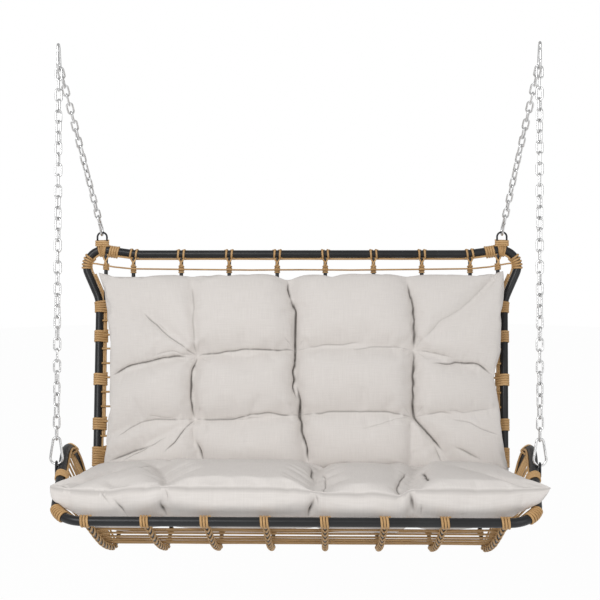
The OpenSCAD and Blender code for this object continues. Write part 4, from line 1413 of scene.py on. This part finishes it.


# Sharp folds: depth and width in millimetres, darkness of their painted shade, and points across and up
# the back
backFolds = [
    (9, 14, 0.9, [highLeft, (-0.330, 0.530), (-0.335, 0.460), (-0.330, 0.420), lowLeft]),
    (4, 16, 0.3, [(-0.340, 0.805), (-0.330, 0.715), (-0.335, 0.680), (-0.328, 0.610), highLeft]),
    (6, 12, 0.5, [highLeft, (-0.378, 0.612), (-0.425, 0.650), (-0.470, 0.688), (-0.490, 0.715)]),
    (3, 8, 0.2, [(-0.400, 0.640), (-0.450, 0.685)]),
    (9, 14, 0.8, [(-0.345, 0.575), (-0.415, 0.570), (-0.460, 0.556), (-0.530, 0.540), (-0.585, 0.515)]),
    (3, 8, 0.2, [highLeft, (-0.400, 0.590), (-0.460, 0.570)]),
    (6, 12, 0.7, [highLeft, (-0.232, 0.587), (-0.155, 0.594), (-0.065, 0.596), highMid]),
    (12, 16, 1.0, [(-0.042, 0.830), (-0.037, 0.795), (-0.030, 0.745)]),
    (12, 16, 1.0, [
        (-0.038, 0.775), (-0.018, 0.726), (-0.017, 0.660), highMid, (-0.019, 0.535), (-0.019, 0.475),
        (-0.009, 0.440),
    ]),
    (12, 16, 1.0, [
        (-0.010, 0.485), (0.000, 0.435), lowMid, (0.004, 0.348), (0.019, 0.300), (0.028, 0.245),
    ]),
    (5, 10, 0.4, [lowLeft, (-0.475, 0.371), (-0.515, 0.350), (-0.555, 0.315)]),
    (3, 8, 0.2, [(-0.360, 0.384), (-0.470, 0.381)]),
    (8, 12, 0.7, [lowLeft, (-0.372, 0.307), (-0.410, 0.270)]),
    (9, 14, 0.6, [(-0.440, 0.297), (-0.510, 0.275), (-0.580, 0.248)]),
    (5, 10, 0.4, [(-0.400, 0.320), (-0.480, 0.275), (-0.540, 0.245)]),
    (3, 9, 0.2, [lowLeft, (-0.322, 0.328), (-0.320, 0.285)]),
    (13, 22, 1.0, [(-0.312, 0.315), (-0.300, 0.285), (-0.285, 0.245)]),
    (5, 12, 0.6, [lowLeft, (-0.211, 0.373), (-0.150, 0.387), (-0.090, 0.394), lowMid]),
    (3, 8, 0.2, [(-0.240, 0.382), (-0.170, 0.376), (-0.110, 0.384)]),
    (4, 10, 0.3, [highMid, (0.060, 0.606), (0.138, 0.611), (0.185, 0.617)]),
    (4, 10, 0.3, [(0.145, 0.590), (0.245, 0.607), (0.292, 0.604), highRight]),
    (10, 15, 0.9, [(0.335, 0.820), (0.349, 0.735), (0.352, 0.660), highRight]),
    (10, 15, 0.9, [highRight, (0.346, 0.517), (0.343, 0.440), lowRight, (0.393, 0.325), (0.430, 0.280)]),
    (4, 10, 0.3, [highRight, (0.400, 0.589), (0.475, 0.570)]),
    (9, 14, 0.8, [(0.400, 0.547), (0.475, 0.555), (0.540, 0.553), (0.590, 0.517)]),
    (3, 18, 0.1, [highRight, (0.430, 0.685), (0.495, 0.720), (0.600, 0.830)]),
    (5, 12, 0.5, [lowMid, (0.092, 0.399), (0.197, 0.403), (0.288, 0.395), lowRight]),
    (3, 8, 0.2, [lowRight, (0.240, 0.356), (0.180, 0.342)]),
    (4, 10, 0.3, [lowRight, (0.424, 0.398), (0.468, 0.390)]),
    (3, 10, 0.2, [(0.435, 0.404), (0.500, 0.398), (0.590, 0.415)]),
    (4, 10, 0.3, [(0.450, 0.374), (0.506, 0.367), (0.542, 0.345), (0.605, 0.325)]),
    (6, 14, 0.4, [(0.400, 0.305), (0.430, 0.240)]),
    (8, 18, 0.4, [(0.460, 0.295), (0.545, 0.252)]),
]

# The same for the seat cushion, with points in the seat's frame
seatFolds = [
    (9, 15, 0.9, [
        (-0.635, 0.070, 0.090), (-0.612, 0.060, 0.087), (-0.590, 0.045, 0.075), (-0.595, 0.040, 0.058),
    ]),
    (5, 10, 0.5, [(-0.515, 0.033, 0.080), (-0.490, 0.025, 0.050), (-0.474, 0.023, 0.038)]),
    (8, 12, 0.7, [(-0.475, 0.023, 0.058), (-0.450, 0.030, 0.030), (-0.432, 0.050, 0.003)]),
    (5, 9, 0.4, [(-0.342, 0.027, 0.090), (-0.330, 0.023, 0.070), (-0.327, 0.035, 0.045)]),
    (12, 20, 1.0, [(-0.350, 0.022, 0.052), (-0.344, 0.038, 0.024), (-0.334, 0.060, 0.000)]),
    (5, 11, 0.5, [(-0.432, 0.160, 0.112), (-0.400, 0.260, 0.108)]),
    (13, 22, 0.8, [(0.048, 0.370, 0.095), (0.051, 0.300, 0.095), (0.056, 0.180, 0.090)]),
    (6, 12, 0.4, [(0.063, 0.255, 0.093), (0.078, 0.120, 0.083), (0.074, 0.020, 0.072)]),
    (8, 12, 0.5, [(0.040, 0.022, 0.080), (0.060, 0.027, 0.055), (0.062, 0.032, 0.030)]),
    (13, 22, 1.0, [(0.050, 0.022, 0.060), (0.036, 0.033, 0.020), (0.030, 0.050, 0.000)]),
    (9, 14, 0.6, [
        (0.312, 0.257, 0.099), (0.280, 0.138, 0.091), (0.268, 0.076, 0.081), (0.272, 0.020, 0.047),
    ]),
    (13, 22, 0.9, [(0.294, 0.032, 0.085), (0.302, 0.032, 0.045), (0.308, 0.042, 0.014)]),
    (6, 10, 0.5, [(0.326, 0.019, 0.050), (0.326, 0.044, 0.009)]),
    (14, 22, 0.9, [(0.336, 0.250, 0.101), (0.340, 0.125, 0.102), (0.350, 0.055, 0.096)]),
    (4, 8, 0.4, [(0.415, 0.030, 0.014), (0.440, 0.023, 0.024)]),
]


# Puckers are shallow folds, each with a little painted shade
pucker = dict(count=6, depth=0.003, width=0.009, paintedShade=0.12, start=0.004, reach=0.030)


def puckers(tufts, place):
    # Short folds that run out from each tuft, no two alike
    lines = []
    for n, (a, b) in enumerate(tufts):
        for k in range(pucker["count"]):
            turn = 2 * math.pi * (k + 0.35 * math.sin(n * 5 + k * 3)) / pucker["count"]
            reach = pucker["reach"] * (1 + abs(math.sin(n * 2.3 + k * 1.9)))
            c, s = math.cos(turn), math.sin(turn)
            points = [place(a + c * r, b + s * r) for r in (pucker["start"], reach / 2, reach)]
            lines.append((pucker["depth"], pucker["width"], pucker["paintedShade"], points))
    return lines


def onFront(x, h):
    u, v = x / backHalf(x, h), (2 * h - low - high) / (high - low)
    return onBack(x, h, backSwell(x, h, min(max(u, -1), 1), min(max(v, -1), 1)))


def inMetres(folds, place):
    # Millimetres to metres; the darkness of the painted shade stays as it is
    return [(deep / 1000, wide / 1000, paintedShade, [place(*p) for p in line]) for deep, wide, paintedShade, line in folds]


backCreases = inMetres(backFolds, onFront) + puckers(backPad["tufts"], onFront)
seatCreases = inMetres(seatFolds, lambda *p: Vector(p))
makeCushion("back_cushion_cover", "back_cushion", backPoint, backPad["cells"], backGrip, backCreases)
makeCushion("seat_cushion_cover", "seat_cushion", seatPoint, seatPad["cells"], seatGrip, seatCreases)

setting = dict(
    floorDrop=0.50,
    floorRadius=9.0,
    floorGlow=0.97,  # how much of the floor's own light the camera sees, so that it stays white
    ambient=0.50,
    aim=(0, 0, -1.0),
    keyPlace=(-1.7, -3.3, 1.3),
    keySize=(2.4, 2.0),
    key=88.0,
    fillPlace=(2.6, -3.0, 0.0),
    fillSize=(2.4, 2.4),
    fill=28.0,
)
eye = dict(
    place=(0.0793, -3.0, 0.62),  # in the seat's own frame
    sensor=36,
    width=600,  # of the picture, in pixels
    focal=1176,  # in the same pixels
    aside=26,  # how far the view is turned, sideways and down
    down=20,
)


def addStage():
    f = Finish("pale_floor")
    kinds = ("Camera", "Glossy", "Transmission")
    rays = [f.add("ShaderNodeLightPath", output=f"Is {kind} Ray") for kind in kinds]
    seen = (rays[0] + rays[1] + rays[2]).clamped()
    f.surface(Base_Color=grey(0.86), Roughness=0.9)
    glow = f.add("ShaderNodeEmission", None, {"Color": grey(1.0), "Strength": 1.0})
    lit = Socket(f, f.shader.outputs[0])
    shown = f.add("ShaderNodeMixShader", None, {0: seen * setting["floorGlow"], 1: lit, 2: glow})
    f.feed(f.tree.nodes["Material Output"].inputs["Surface"], shown)
    bm = bmesh.new()
    bmesh.ops.create_circle(bm, cap_ends=True, segments=64, radius=setting["floorRadius"])
    bmesh.ops.translate(bm, vec=(0, 0, cadBox[0][2] - setting["floorDrop"]), verts=bm.verts)
    mesh = bpy.data.meshes.new("floor")
    bm.to_mesh(mesh)
    bm.free()
    floor = bpy.data.objects.new("floor", mesh)
    bpy.context.scene.collection.objects.link(floor)
    mesh.materials.append(f.material)


def lightWorld():
    world = bpy.data.worlds.new("studio")
    bpy.context.scene.world = world
    world.use_nodes = True
    f = Finish(tree=world.node_tree)
    ambient = f.add("ShaderNodeBackground", None, {"Color": grey(1.0), "Strength": setting["ambient"]})
    white = f.add("ShaderNodeBackground", None, {"Color": grey(1.0), "Strength": 1.0})
    seen = f.add("ShaderNodeLightPath", output="Is Camera Ray")
    both = f.add("ShaderNodeMixShader", None, {0: seen, 1: ambient, 2: white})
    f.feed(f.tree.nodes["World Output"].inputs["Surface"], both)


def addLamp(name, place, size, power):
    lamp = bpy.data.lights.new(name, "AREA")
    lamp.shape = "RECTANGLE"
    lamp.size, lamp.size_y = size
    lamp.energy = power
    piece = bpy.data.objects.new(name, lamp)
    bpy.context.scene.collection.objects.link(piece)
    piece.location = place
    piece.rotation_euler = (Vector(setting["aim"]) - Vector(place)).to_track_quat("-Z", "Y").to_euler()


def addCamera():
    lens = bpy.data.cameras.new("camera")
    lens.sensor_width = eye["sensor"]
    lens.lens = eye["sensor"] * eye["focal"] / eye["width"]
    camera = bpy.data.objects.new("camera", lens)
    bpy.context.scene.collection.objects.link(camera)
    pan, tilt = math.atan(eye["aside"] / eye["focal"]), math.atan(eye["down"] / eye["focal"])
    camera.matrix_world = (
        seatToRow
        @ Matrix.Translation(eye["place"])
        @ Matrix.Rotation(pan, 4, "Z")
        @ Matrix.Rotation(math.radians(90) - tilt, 4, "X")
    )
    bpy.context.scene.camera = camera


addStage()
lightWorld()
addLamp("key_light", setting["keyPlace"], setting["keySize"], setting["key"])
addLamp("fill_light", setting["fillPlace"], setting["fillSize"], setting["fill"])
addCamera()
bpy.context.scene.view_settings.view_transform = "Standard"
print("stage, light and camera set")
